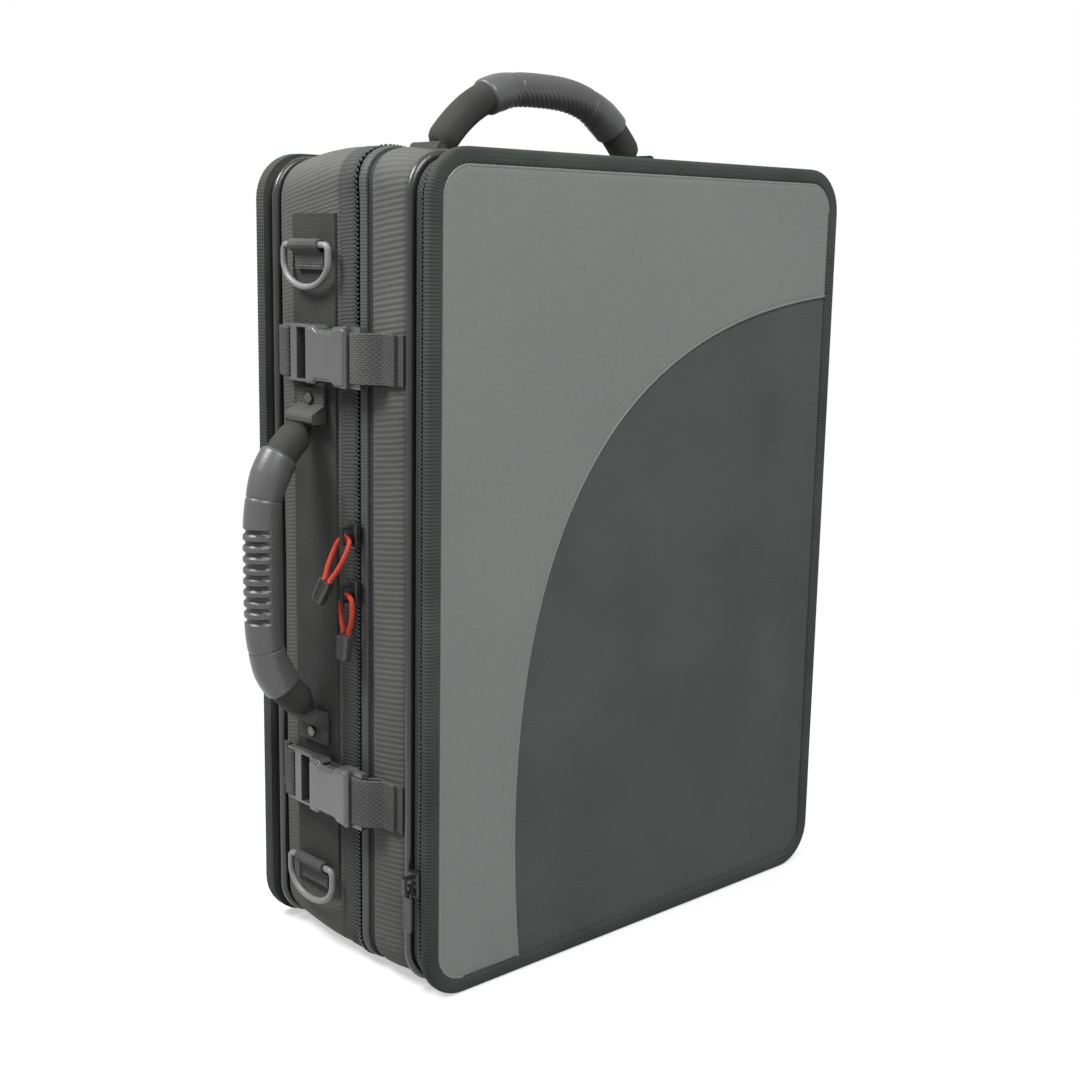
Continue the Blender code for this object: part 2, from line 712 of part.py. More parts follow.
def make_blocks(body, tray_body):
    """The plush-covered blocks that hold two clarinets, and the accessory tray with its lid."""
    inside = WALL_INSET + WALL_THICK + GAP
    reach = WIDTH / 2 - inside
    corner = CORNER_RADIUS - inside
    near = MAIN_PART + BLOCK_FRONT_DROP
    far = SHELL_END - GAP
    low, high = inside, HEIGHT - inside

    upper = plate(rounded_box((-reach, BLOCK_SPLIT_Z + GAP), (reach, high), corner), near, far)
    start = BLOCK_SPLIT_Z + BLOCK_MARGIN
    for index in range(JOINT_CHANNEL_COUNT):
        x = JOINT_CHANNEL_FIRST_X + index * JOINT_CHANNEL_PITCH
        y = depth(near + JOINT_CHANNEL_AXIS)
        channel = cylinder((x, y, start), (x, y, start + JOINT_CHANNEL_LENGTH), JOINT_CHANNEL_RADIUS)
        combine(upper, channel, "DIFFERENCE")
    tray_left = TRAY_RIGHT - TRAY_WIDTH
    tray_top = high - TRAY_TOP_MARGIN
    tray = box(
        (tray_left, depth(near - OVERRUN), start),
        (TRAY_RIGHT, depth(near + TRAY_DEPTH), tray_top),
    )
    combine(upper, tray, "DIFFERENCE")
    finish(upper, "joints_block", "plush", body)
    near_lid = near - GAP - TRAY_LID_THICK
    over = TRAY_LID_OVERLAP
    tray_lid = box(
        (tray_left - over, depth(near_lid), start - over),
        (TRAY_RIGHT + over, depth(near - GAP), tray_top + over),
    )
    finish(bevel(tray_lid, TRAY_LID_THICK / 4), "tray_lid", "plush", tray_body)
    middle = (start + tray_top) / 2
    far_tab = near_lid - GAP
    tab = box(
        (tray_left, depth(far_tab - TRAY_TAB_THICK), middle - TRAY_TAB_WIDTH / 2),
        (tray_left + TRAY_TAB_LENGTH, depth(far_tab), middle + TRAY_TAB_WIDTH / 2),
    )
    finish(tab, "tray_tab", "webbing", tray_body)

    lower = plate(rounded_box((-reach, low), (reach, BLOCK_SPLIT_Z), corner), near, far)
    for index in range(BELL_COUNT):
        x = BELL_FIRST_X + index * BELL_PITCH
        y = depth(near + BELL_AXIS)
        z = low + BLOCK_MARGIN
        combine(lower, cylinder((x, y, z), (x, y, z + BELL_LENGTH), BELL_RADIUS), "DIFFERENCE")
    for index in range(SMALL_POCKET_COUNT):
        z = SMALL_POCKET_FIRST_Z + index * SMALL_POCKET_PITCH
        y = depth(near + SMALL_POCKET_AXIS)
        ends = [(SMALL_POCKET_X + way * SMALL_POCKET_LENGTH / 2, y, z) for way in (-1, 1)]
        combine(lower, cylinder(*ends, SMALL_POCKET_RADIUS), "DIFFERENCE")
    finish(lower, "bells_block", "plush", body)


def make_ring(level, z, body, ring_body):
    """A moulded ring for the shoulder strap, and the webbing tab that holds its bar."""
    start = WEBBING_THICK + GAP
    loop = RING_WIRE + GAP + WEBBING_THICK / 2
    inner = start + GAP + WEBBING_THICK / 2
    route = [(inner, -RING_TAB_TAIL), (inner, -loop)]
    route += arc((RING_OUT, 0), loop, -2, -TAB_WRAP_QUARTERS, RING_ARC_STEPS)
    outer = inner + WEBBING_THICK + GAP
    route += [(outer, -loop * 2), (outer, -RING_TAB_TAIL)]
    finish(hanging_strap(route, z), f"ring_tab_{level}", "webbing", body)

    corner = RING_WIRE
    points = [
        (-RING_HALF_WIDTH, -corner),
        (-RING_HALF_WIDTH + corner, 0),
        (RING_HALF_WIDTH - corner, 0),
        (RING_HALF_WIDTH, -corner),
    ]
    for step in range(RING_ARC_STEPS + 1):
        angle = -math.pi * step / RING_ARC_STEPS
        across = RING_HALF_WIDTH * math.cos(angle)
        drop = (RING_DROP - RING_STRAIGHT) * math.sin(angle) - RING_STRAIGHT
        points.append((across, drop))
    path = [side_point(RING_OUT, FITTING_DEPTH + a, z + b) for a, b in points]
    finish(as_mesh(tube(path, RING_WIRE, cyclic=True)), f"ring_{level}", "plastic", ring_body)


def mirrored(points):
    """Half an outline, and the same half turned over below it."""
    return points + [(deep, -high) for deep, high in reversed(points)]


def side_plate(points, outs, z):
    """A flat outline in (depth, height) against the latch side, between two distances out."""
    shape = poly_curve("outline", [(depth(deep), z + high) for deep, high in points], True, True)
    shape.data.fill_mode = "BOTH"
    shape.data.extrude = (outs[1] - outs[0]) / 2
    made = as_mesh(shape)
    made.rotation_euler = (math.pi / 2, 0, math.pi / 2)
    made.location.x = side_point(sum(outs) / 2, 0, 0).x
    return made


def make_socket(level, z, body):
    """The female half of a buckle: a hollow mouth with side windows, and a bar for the webbing."""
    half, wide = BUCKLE_HALF, BUCKLE_END_HALF
    outer = [
        (SOCKET_MOUTH, half),
        (WINDOW_START + WINDOW_WAIST, half),
        (WINDOW_START, half - WINDOW_WAIST),
        (WINDOW_END, half - WINDOW_WAIST),
        (WINDOW_END - WINDOW_WAIST, half),
        (SOCKET_BODY_END, wide),
    ]
    socket = bevel(side_plate(mirrored(outer), (SOCKET_LOW, SOCKET_HIGH), z), SOCKET_WALL / 2)
    loop = [(SOCKET_BODY_END + OVERRUN, wide - GAP), (SOCKET_BAR_END, wide - GAP)]
    combine(socket, side_plate(mirrored(loop), (BAR_LOW, BAR_HIGH), z), "UNION")
    webbing = WEBBING_WIDTH / 2 + GAP
    past = (SOCKET_LOW - OVERRUN, SOCKET_HIGH + OVERRUN)
    slot = side_box(past, (SOCKET_BAR_START, SOCKET_BODY_END), (z - webbing, z + webbing))
    combine(socket, slot, "DIFFERENCE")
    inner = half - SOCKET_SIDE_WALL
    hollow = (SOCKET_LOW + SOCKET_WALL, SOCKET_HIGH - SOCKET_WALL)
    cavity = side_box(hollow, (SOCKET_CAVITY_END, SOCKET_MOUTH + OVERRUN), (z - inner, z + inner))
    combine(socket, cavity, "DIFFERENCE")
    window = side_box(hollow, (WINDOW_END, WINDOW_START), (z - half - OVERRUN, z + half + OVERRUN))
    finish(combine(socket, window, "DIFFERENCE"), f"buckle_socket_{level}", "plastic", body)


def make_plug(level, z, body):
    """The male half of a buckle: a slotted frame, a bar for the webbing and a middle tongue."""
    base = SOCKET_MOUTH + GAP
    slot_start = base + PLUG_BASE
    slot_end = slot_start + PLUG_SLOT
    neck_end = slot_end + PLUG_NECK
    bar_start = neck_end + PLUG_WEB_SLOT
    frame = [(base, BUCKLE_HALF), (neck_end, BUCKLE_HALF)]
    plug = bevel(side_plate(mirrored(frame), (PLUG_LOW, PLUG_HIGH), z), RAIL / 2)
    loop = [(neck_end - OVERRUN, BUCKLE_HALF - GAP), (bar_start + PLUG_BAR, BUCKLE_HALF - GAP)]
    combine(plug, side_plate(mirrored(loop), (BAR_LOW, BAR_HIGH), z), "UNION")
    past = (PLUG_LOW - OVERRUN, PLUG_HIGH + OVERRUN)
    webbing = WEBBING_WIDTH / 2 + GAP
    combine(plug, side_box(past, (neck_end, bar_start), (z - webbing, z + webbing)), "DIFFERENCE")
    inner = BUCKLE_HALF - RAIL
    combine(plug, side_box(past, (slot_start, slot_end), (z - inner, z + inner)), "DIFFERENCE")
    tongue_depths = (SOCKET_MOUTH - TONGUE_LENGTH, slot_start - GAP)
    tongue = side_box((ARM_LOW, PLUG_HIGH - GAP), tongue_depths, (z - TONGUE_HALF, z + TONGUE_HALF))
    finish(combine(plug, tongue, "UNION"), f"buckle_plug_{level}", "plastic", body)


def make_arm(level, side, z, body):
    """One springy arm of the plug; its barb lies just inside the socket's window."""
    way = 1 if side == "top" else -1
    root = SOCKET_MOUTH
    barb = BUCKLE_HALF - SOCKET_SIDE_WALL - GAP
    thick = ARM_THICK
    outer = [
        (root, ARM_ROOT + thick / 2),
        (root - BARB_START, ARM_ROOT + thick / 3),
        (root - BARB_START - thick / 4, barb),
        (root - BARB_END + thick, barb),
        (root - BARB_END - thick / 2, ARM_ROOT),
        (root - ARM_LENGTH, ARM_ROOT - thick / 2),
    ]
    inner = [
        (root - ARM_LENGTH, ARM_ROOT - thick),
        (root - BARB_END, ARM_ROOT - thick),
        (root, ARM_ROOT - thick / 2),
    ]
    points = [(deep, way * high) for deep, high in outer + inner]
    made = side_plate(points, (ARM_LOW, PLUG_HIGH - GAP), z)
    finish(made, f"buckle_arm_{level}_{side}", "plastic", body)


def make_straps(level, z, back, lid):
    """The webbing of a buckle: one end on the lid, the other on the back shell."""
    lie = GAP + WEBBING_THICK / 2
    over = lie + WEBBING_THICK + GAP
    low = BAR_LOW - lie
    high = BAR_HIGH + lie
    turn = WEBBING_THICK
    slot = (SOCKET_BAR_START + SOCKET_BODY_END) / 2
    lift = SOCKET_BAR_END - PLUG_BAR
    flat = lift - PLUG_BAR - turn
    tail = STRAP_START + (flat - STRAP_START) * STRAP_TAIL_SHARE
    lid_route = [
        (STRAP_START, lie),
        (lift, lie),
        (SOCKET_BAR_END, low),
        (slot - turn / 2, low),
        (slot, low + turn),
        (slot, high - turn),
        (slot - turn / 2, high),
        (SOCKET_BAR_END, high),
        (lift, high - turn * 2),
        (flat, over),
        (tail, over),
    ]
    finish(side_strap(lid_route, z), f"lid_strap_{level}", "webbing", lid)
    neck_end = SOCKET_MOUTH + GAP + PLUG_BASE + PLUG_SLOT + PLUG_NECK
    slot = neck_end + PLUG_WEB_SLOT / 2
    bar_end = neck_end + PLUG_WEB_SLOT + PLUG_BAR
    lift = bar_end + PLUG_BAR
    back_route = [
        (LATCH_STRAP_TAIL, lie),
        (lift + turn, lie),
        (bar_end, low),
        (slot + turn / 2, low),
        (slot, low + turn),
        (slot, high - turn),
        (slot + turn / 2, high),
        (bar_end, high),
        (lift, high - turn * 2),
        (lift + PLUG_BAR + turn, over),
        (LATCH_STRAP_TAIL + turn, over),
    ]
    finish(side_strap(back_route, z), f"latch_strap_{level}", "webbing", back)


def handle_out(along, rise, power):
    """How far a handle's middle line stands off its wall."""
    share = min(1, abs(along) / HANDLE_HALF_SPAN)
    return HANDLE_END_OUT + (rise - HANDLE_END_OUT) * (1 - share**power)


def make_handle(name, place, shape, body):
    """A webbing core bowed between its ends, in a moulded grip; place maps (along, out) to a point."""
    rise, power, grip_half, grip_shift, groove_count = shape

    def at(along):
        return place(along, handle_out(along, rise, power))

    def core_radius(along):
        swell = handle_out(along, rise, power) - HANDLE_END_OUT
        return min(HANDLE_TUBE_RADIUS, HANDLE_END_RADIUS + swell)

    low, high = grip_shift - grip_half, grip_shift + grip_half
    stations = []
    for step in range(HANDLE_POINTS + 1):
        stations.append(HANDLE_HALF_SPAN * math.sin(math.pi * (step / HANDLE_POINTS - 1 / 2)))
    radii = {}
    for along in stations:
        if along < low - GROOVE_WIDTH or along > high + GROOVE_WIDTH:
            radii[along] = core_radius(along)
        elif low + GROOVE_WIDTH < along < high - GROOVE_WIDTH:
            radii[along] = HANDLE_CORE_RADIUS
    for end, way in ((low, -1), (high, 1)):
        radii[end + way * GAP * 2] = core_radius(end)
        radii[end + way * GAP] = HANDLE_CORE_RADIUS
        radii[way * (HANDLE_HALF_SPAN + HANDLE_END_RUN)] = HANDLE_END_RADIUS
    order = sorted(radii)
    core = tube([at(a) for a in order], HANDLE_TUBE_RADIUS, [radii[a] for a in order])
    finish(as_mesh(core), f"{name}_core", "webbing", body)

    radii = {}
    for end, way in ((low, -1), (high, 1)):
        radii[end] = GRIP_END_RADIUS - GRIP_LIP / 2
        radii[end - way * GRIP_LIP] = GRIP_END_RADIUS
        radii[end - way * GRIP_SHOULDER] = GRIP_END_RADIUS
        radii[end - way * GRIP_SHOULDER * 2] = GRIP_RADIUS
    for index in range(groove_count):
        centre = grip_shift + (index - (groove_count - 1) / 2) * GROOVE_PITCH
        for way in (-1, 1):
            radii[centre + way * GROOVE_WIDTH / 2] = GRIP_RADIUS
            radii[centre + way * GROOVE_WIDTH / 4] = GRIP_RADIUS - GROOVE_SINK
    order = sorted(radii)
    sleeve = as_mesh(tube([at(a) for a in order], GRIP_RADIUS, [radii[a] for a in order]))
    run = [low - OVERRUN] + [a for a in stations if low < a < high] + [high + OVERRUN]
    bore = as_mesh(tube([at(a) for a in run], HANDLE_CORE_RADIUS + GAP * 2))
    finish(combine(sleeve, bore, "DIFFERENCE"), f"{name}_grip", "rubber", body)


def make_anchor(name, place, way, low, body):
    """The folded webbing that holds one end of a handle; place maps (along, out)."""
    start = HANDLE_HALF_SPAN + HANDLE_END_RUN + GAP
    outer = [
        (start, low),
        (start, ANCHOR_HIGH),
        (start + ANCHOR_HEAD, ANCHOR_HIGH),
        (start + ANCHOR_HEAD * 2, ANCHOR_PATCH),
        (start + ANCHOR_LENGTH, ANCHOR_PATCH),
        (start + ANCHOR_LENGTH, low),
    ]
    points = [tuple(place(way * along, out).xz) for along, out in outer]
    half = ANCHOR_WIDTH / 2
    block = plate(points, FITTING_DEPTH - half, FITTING_DEPTH + half)
    finish(bevel(block, WEBBING_THICK / 2), f"{name}_anchor", "webbing", body)


def make_rivet(name, place, way, body):
    """The domed rivet through the flat end of an anchor."""
    along = way * (HANDLE_HALF_SPAN + HANDLE_END_RUN + GAP + ANCHOR_LENGTH - RIVET_SETBACK)
    foot = place(along, ANCHOR_PATCH + GAP)
    crown = place(along, ANCHOR_PATCH + GAP + RIVET_HIGH)
    rivet = bevel(cylinder(foot, crown, RIVET_RADIUS), RIVET_HIGH / 2)
    finish(rivet, f"{name}_rivet", "rivet_metal", body)


def make_slider(name, place, body):
    """A zip slider with the bail that its pull hangs from; place maps (out, across, along)."""
    low = COIL_PROUD + GAP
    high = low + SLIDER_THICK
    wide, long = SLIDER_WIDTH / 2, SLIDER_LENGTH / 2
    block = bevel(box(place(low, -wide, -long), place(high, wide, long)), SLIDER_BEVEL)
    wide, long = BAIL_WIDTH / 2, BAIL_LENGTH / 2
    top = high + BAIL_HIGH
    combine(block, box(place(high - SLIDER_BEVEL, -wide, -long), place(top, wide, long)), "UNION")
    long -= BAIL_WALL
    hole = box(place(high, -SLIDER_WIDTH, -long), place(top - BAIL_WALL, SLIDER_WIDTH, long))
    finish(combine(block, hole, "DIFFERENCE"), name, "black_metal", body)


def bail_out():
    """How far out the middle of a bail's hole is."""
    return COIL_PROUD + GAP + SLIDER_THICK + (BAIL_HIGH - BAIL_WALL) / 2


def cord_drop():
    """How far below a bail's middle the cord lies in it."""
    return BAIL_LENGTH / 2 - BAIL_WALL - CORD_RADIUS - CORD_PLAY


def make_pull(level, z, body):
    """A cord loop through the slider's bail, with a moulded end that hides its two tails."""
    aside, out, drop = PULL_LEANS[level]
    top = side_point(bail_out(), MAIN_PART, z - cord_drop())
    lean = Vector((-out, aside, -drop))
    turn = Vector((0, 0, -1)).rotation_difference(lean).to_matrix()
    across = turn @ Vector((0, 1, 0))
    half = [top + lean * down + across * CORD_BULGE * wide for wide, down in CORD_SHARES]
    other = [top + lean * down - across * CORD_BULGE * wide for wide, down in CORD_SHARES[1:]]
    loop = tube(half[::-1] + other, CORD_RADIUS)
    finish(as_mesh(loop), f"pull_cord_{level}", "red_cord", body)

    bpy.ops.mesh.primitive_cube_add(size=1)
    end = bpy.context.active_object
    end.data.transform(Matrix.Diagonal((PULL_THICK, PULL_WIDTH, PULL_LENGTH, 1)))
    for vertex in end.data.vertices:
        if vertex.co.z < 0:
            vertex.co.y *= PULL_TAPER_SHARE
    bevel(end, PULL_BEVEL)
    middle = top + lean + lean.normalized() * (PULL_LENGTH / 2 + GAP)
    end.data.transform(Matrix.Translation(middle) @ turn.to_4x4())
    finish(end, f"pull_end_{level}", "rubber", body)


def make_pocket_pull(place, body):
    """A flat metal pull whose pin turns in the bail of the pocket's slider."""
    middle = bail_out()
    thick = POCKET_TAB_THICK / 2
    arm_thick = thick - GAP
    wide = POCKET_TAB_WIDTH / 2
    cheek = BAIL_WIDTH / 2 + GAP
    tab_start = BAIL_LENGTH / 2 + BAIL_WALL
    tab = box(place(middle - thick, -wide, -tab_start), place(middle + thick, wide, -POCKET_TAB_LENGTH))
    bevel(tab, thick / 2)
    for way in (-1, 1):
        arm = box(
            place(middle - arm_thick, way * cheek, thick),
            place(middle + arm_thick, way * (wide - GAP), -tab_start - thick),
        )
        combine(tab, arm, "UNION")
    reach = (cheek + wide - GAP) / 2
    ends = (place(middle, -reach, 0), place(middle, reach, 0))
    pin = cylinder(*ends, thick * PIN_SHARE, CORNER_STEPS * 2)
    finish(combine(tab, pin, "UNION"), "pocket_pull", "black_metal", body)


def make_case():
    """Every piece of the case, hung on the empties of its moving bodies."""
    case = pivot("case", (0, 0, 0), None)
    case.location.x = CASE_X
    hinge_x = WIDTH / 2 - WALL_INSET + COIL_PROUD
    lid = pivot("lid_hinge", (hinge_x, depth(MAIN_PART), 0), case)
    flap = pivot("flap_hinge", (hinge_x, depth(POCKET_PART), 0), lid)
    make_flap(flap, lid)
    make_lid(lid)
    make_back(case)

    tray_front = MAIN_PART + BLOCK_FRONT_DROP - GAP - TRAY_LID_THICK / 2
    tray = pivot("tray_hinge", (TRAY_RIGHT + TRAY_LID_OVERLAP, depth(tray_front), 0), case)
    make_blocks(case, tray)

    middle = BAND_WIDTH / 2
    ends = (CORNER_RADIUS, HEIGHT - CORNER_RADIUS)
    around = (FITTING_DEPTH - middle, FITTING_DEPTH + middle)
    finish(side_box((GAP, GAP + WEBBING_THICK), around, ends), "side_band", "webbing", case)

    for level, z in RING_HEIGHTS.items():
        ring = pivot(f"ring_hinge_{level}", side_point(RING_OUT, FITTING_DEPTH, z), case)
        make_ring(level, z, case, ring)

    for level, z in BUCKLE_HEIGHTS.items():
        make_socket(level, z, lid)
        make_plug(level, z, case)
        make_straps(level, z, case, lid)
        for side, way in (("top", 1), ("bottom", -1)):
            root = side_point(ARM_LOW, SOCKET_MOUTH, z + way * ARM_ROOT)
            make_arm(level, side, z, pivot(f"arm_hinge_{level}_{side}", root, case))

    side = pivot("side_handle_hinge", side_point(HANDLE_END_OUT, FITTING_DEPTH, SIDE_HANDLE_Z), case)
    top = pivot("top_handle_hinge", top_point(TOP_HANDLE_X, FITTING_DEPTH, HANDLE_END_OUT), case)

    def on_side(along, out):
        return side_point(out, FITTING_DEPTH, SIDE_HANDLE_Z + along)

    def on_top(along, out):
        return top_point(TOP_HANDLE_X + along, FITTING_DEPTH, out)

    side_shape = (SIDE_HANDLE_RISE, SIDE_HANDLE_POWER, SIDE_GRIP_HALF, 0, SIDE_GROOVE_COUNT)
    top_shape = (TOP_HANDLE_RISE, TOP_HANDLE_POWER, TOP_GRIP_HALF, TOP_GRIP_SHIFT, TOP_GROOVE_COUNT)
    make_handle("side_handle", on_side, side_shape, side)
    make_handle("top_handle", on_top, top_shape, top)
    for level, way in (("upper", 1), ("lower", -1)):
        make_anchor(f"side_handle_{level}", on_side, way, WEBBING_THICK + GAP * 2, case)
        make_rivet(f"side_handle_{level}", on_side, way, case)
    for level, way in (("right", 1), ("left", -1)):
        make_anchor(f"top_handle_{level}", on_top, way, GAP, case)

    for level, z in SLIDER_HEIGHTS.items():

        def on_zip(out, across, along, z=z):
            return side_point(out, MAIN_PART + across, z + along)

        slider = pivot(f"slider_{level}_track", on_zip(0, 0, 0), case)
        make_slider(f"zip_slider_{level}", on_zip, slider)
        hang = pivot(f"pull_hinge_{level}", on_zip(bail_out(), 0, -cord_drop()), slider)
        make_pull(level, z, hang)

    def on_pocket(out, across, along):
        return side_point(out, POCKET_PART + across, POCKET_SLIDER_Z + along)

    slider = pivot("pocket_slider_track", on_pocket(0, 0, 0), lid)
    make_slider("pocket_slider", on_pocket, slider)
    make_pocket_pull(on_pocket, pivot("pocket_pull_hinge", on_pocket(bail_out(), 0, 0), slider))


clear_scene()
MATERIALS = make_materials()
make_case()
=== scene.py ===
# %% [markdown]
# # A soft clarinet case, dressed piece by piece
# The case stands on its short end. Its measured model is loaded first and never moved.
# Everything made below is in metres, in the same frame: Z is up and the front faces -Y.

# %% Load the measured model
import math

import bpy
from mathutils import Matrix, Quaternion, Vector, noise


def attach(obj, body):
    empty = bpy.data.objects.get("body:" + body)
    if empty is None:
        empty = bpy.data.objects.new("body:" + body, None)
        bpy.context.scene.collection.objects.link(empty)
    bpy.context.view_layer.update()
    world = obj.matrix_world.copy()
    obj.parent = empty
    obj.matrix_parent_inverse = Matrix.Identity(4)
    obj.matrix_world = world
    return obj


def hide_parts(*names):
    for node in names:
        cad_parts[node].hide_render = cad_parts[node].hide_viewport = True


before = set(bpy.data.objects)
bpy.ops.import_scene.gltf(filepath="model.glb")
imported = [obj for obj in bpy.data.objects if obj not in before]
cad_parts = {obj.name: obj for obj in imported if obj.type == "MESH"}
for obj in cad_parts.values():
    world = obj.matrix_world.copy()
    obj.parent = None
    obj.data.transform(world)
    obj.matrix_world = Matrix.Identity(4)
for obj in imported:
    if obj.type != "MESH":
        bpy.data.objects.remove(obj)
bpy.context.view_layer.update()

# %% [markdown]
# The case is a rounded box. Depths are counted in millimetres from the front face backwards, and
# "out" is counted from the side or top wall outwards, because a maker measures a case that way.
# The lid parts from the back at one depth and the pocket's flap from the lid at another, and the
# straps, the rings and both handles have their middle at a third.

# %% Name the main sizes
MM = 0.001
CENTRE_X = 20.05 * MM
WIDTH = 304 * MM
HEIGHT = 420 * MM
DEPTH = 145 * MM
CORNER = 24 * MM
WALL = 4
WALL_INSET = WALL * MM
MAIN_PART = 61
POCKET_PART = 10.5
FITTING_DEPTH = 96.5


def at_depth(depth):
    """A depth in millimetres from the front face, as Y."""
    return depth * MM - DEPTH / 2


def side_x(out):
    """A distance in millimetres out from the latch side's wall, as X."""
    return CENTRE_X - (WIDTH / 2 - WALL_INSET) - out * MM


def top_z(out):
    """A distance in millimetres out from the top wall, as Z."""
    return HEIGHT - WALL_INSET + out * MM


def upright(path, depth):
    """A flat path of (x, z), stood up at a depth in millimetres."""
    return [(x, at_depth(depth), z) for x, z in path]


print("front at", at_depth(0), "side wall at", round(side_x(0), 4), "top wall at", top_z(0))

# %% [markdown]
# The camera stands a little under 0.9 m away, above the middle, and looks at the corner between the
# front and the side that has the buckles. How strongly the edges run together gives the length of
# the lens, counted here in pixels of the picture.

# %% Place the camera
PICTURE_PIXELS, LENS_PIXELS = 1080, 1582
yaw, pitch, roll = (math.radians(angle) for angle in (42.92, -10.75, 1.04))
ahead = Vector(
    (math.sin(yaw) * math.cos(pitch), math.cos(yaw) * math.cos(pitch), math.sin(pitch))
)
turn = ahead.to_track_quat("-Z", "Y") @ Quaternion((0, 0, 1), roll)
bpy.ops.object.camera_add(location=(-0.59295, -0.6455, 0.378), rotation=turn.to_euler())
camera = bpy.context.active_object
camera.name = "camera"
camera.data.sensor_width = 36
camera.data.lens = LENS_PIXELS / PICTURE_PIXELS * camera.data.sensor_width
camera.data.clip_start = 0.01
bpy.context.scene.camera = camera
print("lens", round(camera.data.lens, 1), "mm")

# %% [markdown]
# A modeller's first habit: nothing is selected and Blender is in object mode before a new piece
# is begun. A finished piece has its place in its mesh, so its object sits at the origin. A curve
# that has become a mesh has double points where it closes, so they are merged.


# %% Small habits used everywhere
def fresh():
    """Leaves edit mode and selects nothing."""
    if bpy.context.mode != "OBJECT":
        bpy.ops.object.mode_set(mode="OBJECT")
    bpy.ops.object.select_all(action="DESELECT")


def pick(piece):
    fresh()
    piece.select_set(True)
    bpy.context.view_layer.objects.active = piece
    return piece


def set_down(piece):
    """Applies the place of a piece, so that its object is at the origin."""
    pick(piece)
    bpy.ops.object.transform_apply(location=True, rotation=True, scale=True)
    return piece


def stand_up(piece):
    """Turns a piece that was drawn flat, so that its Y becomes the height and its -Z the depth."""
    pick(piece)
    piece.rotation_euler = (math.pi / 2, 0, 0)
    return set_down(piece)


def soften(piece, angle=40):
    """Shades a piece smooth, except at edges sharper than an angle in degrees."""
    pick(piece)
    bpy.ops.object.shade_smooth_by_angle(angle=math.radians(angle))
    return piece


def made_mesh(line, name):
    """Turns a curve into a mesh."""
    pick(line)
    bpy.ops.object.convert(target="MESH")
    piece = bpy.context.active_object
    piece.name = name
    return piece


def open_up(piece, doubles=0.000001):
    """Opens a piece for editing, with its double points merged and everything selected."""
    pick(piece)
    bpy.ops.object.mode_set(mode="EDIT")
    bpy.ops.mesh.select_all(action="SELECT")
    bpy.ops.mesh.remove_doubles(threshold=doubles)


def with_modifier(piece, kind, **settings):
    """Adds one modifier, sets it and applies it."""
    pick(piece)
    modifier = piece.modifiers.new(kind.lower(), kind)
    for name, value in settings.items():
        setattr(modifier, name, value)
    bpy.ops.object.modifier_apply(modifier=modifier.name)
    return piece


def wear(piece, material, body, slot, *nodes):
    """Gives a piece its finish, hangs it on a body and hides the plain solids that it stands for.
    """
    piece.data.materials.clear()
    piece.data.materials.append(material)
    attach(piece, body)
    if nodes:
        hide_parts(*nodes)
    return piece


print("habits ready")

# %% [markdown]
# Bindings, zips, piping and walls all follow one path: the case's rounded outline. So they are
# swept: a path is drawn flat, a small section is drawn, and the curve carries the section along
# the path. The sweep's own UV map is then stretched to real metres, so that a weave or a rib
# has the same size everywhere and turns the corners with the cloth.


# %% Draw paths and sweep sections along them
def drawn(points, closed, flat=True):
    """A curve through points, drawn flat unless its points have three values."""
    fresh()
    bpy.ops.curve.primitive_bezier_curve_add()
    line = bpy.context.active_object
    line.data.dimensions = "2D" if flat else "3D"
    line.data.splines.clear()
    spline = line.data.splines.new("POLY")
    spline.points.add(len(points) - 1)
    for knot, point in zip(spline.points, points):
        knot.co = (*point, 0, 1) if flat else (*point, 1)
    spline.use_cyclic_u = closed
    line.data.fill_mode = "NONE" if flat else "FULL"
    return line


def running_lengths(points, closed):
    """The length along a line at each of its points."""
    ring = list(points) + ([points[0]] if closed else [])
    lengths = [0]
    for here, there in zip(ring, ring[1:]):
        lengths.append(lengths[-1] + (Vector(there) - Vector(here)).length)
    return lengths


def reading(lengths, share):
    """The length at a share of the way through the points."""
    place = min(max(share, 0), 1) * (len(lengths) - 1)
    index = min(int(place), len(lengths) - 2)
    return lengths[index] + (lengths[index + 1] - lengths[index]) * (place - index)


def measure_map(piece, along, around):
    """Stretches a sweep's UV map to metres: U along the path, V around the section.

    Blender lays a closed flat curve clockwise, so U starts at its last point and runs backwards.
    """
    for corner in piece.data.uv_layers[0].data:
        corner.uv = (reading(along, corner.uv.x), reading(around, corner.uv.y))


def turned_area(points):
    """The area inside a flat line: positive where it runs anticlockwise."""
    pairs = zip(points, points[1:] + points[:1])
    return sum(a[0] * b[1] - b[0] * a[1] for a, b in pairs) / 2


def swept(name, path, closed, section, standing=True):
    """Carries a section of (inwards, depth) in metres along a flat path."""
    shape = [(inward if closed else -inward, -deep) for inward, deep in section]
    if turned_area(shape) > 0:
        shape = shape[::-1]
    rail = drawn(path, closed)
    profile = drawn(shape, True)
    rail.data.bevel_mode = "OBJECT"
    rail.data.bevel_object = profile
    rail.data.use_fill_caps = not closed
    piece = made_mesh(rail, name)
    laid = path[::-1] if closed else path
    measure_map(piece, running_lengths(laid, closed), running_lengths(shape, True))
    bpy.data.objects.remove(profile)
    open_up(piece)
    fresh()
    if standing:
        stand_up(piece)
    return soften(piece)


def rounded(name, path, radius, radii=None, closed=False, sides=3):
    """A round cord through points in space, with a radius at each point where radii are given."""
    rail = drawn(path, closed, flat=False)
    rail.data.bevel_depth = radius
    rail.data.bevel_resolution = sides
    rail.data.use_fill_caps = not closed
    for knot, value in zip(rail.data.splines[0].points, radii or [radius] * len(path)):
        knot.radius = value / radius
    piece = made_mesh(rail, name)
    measure_map(piece, running_lengths(path, closed), [0, 2 * math.pi * radius])
    open_up(piece)
    return soften(piece, 60)


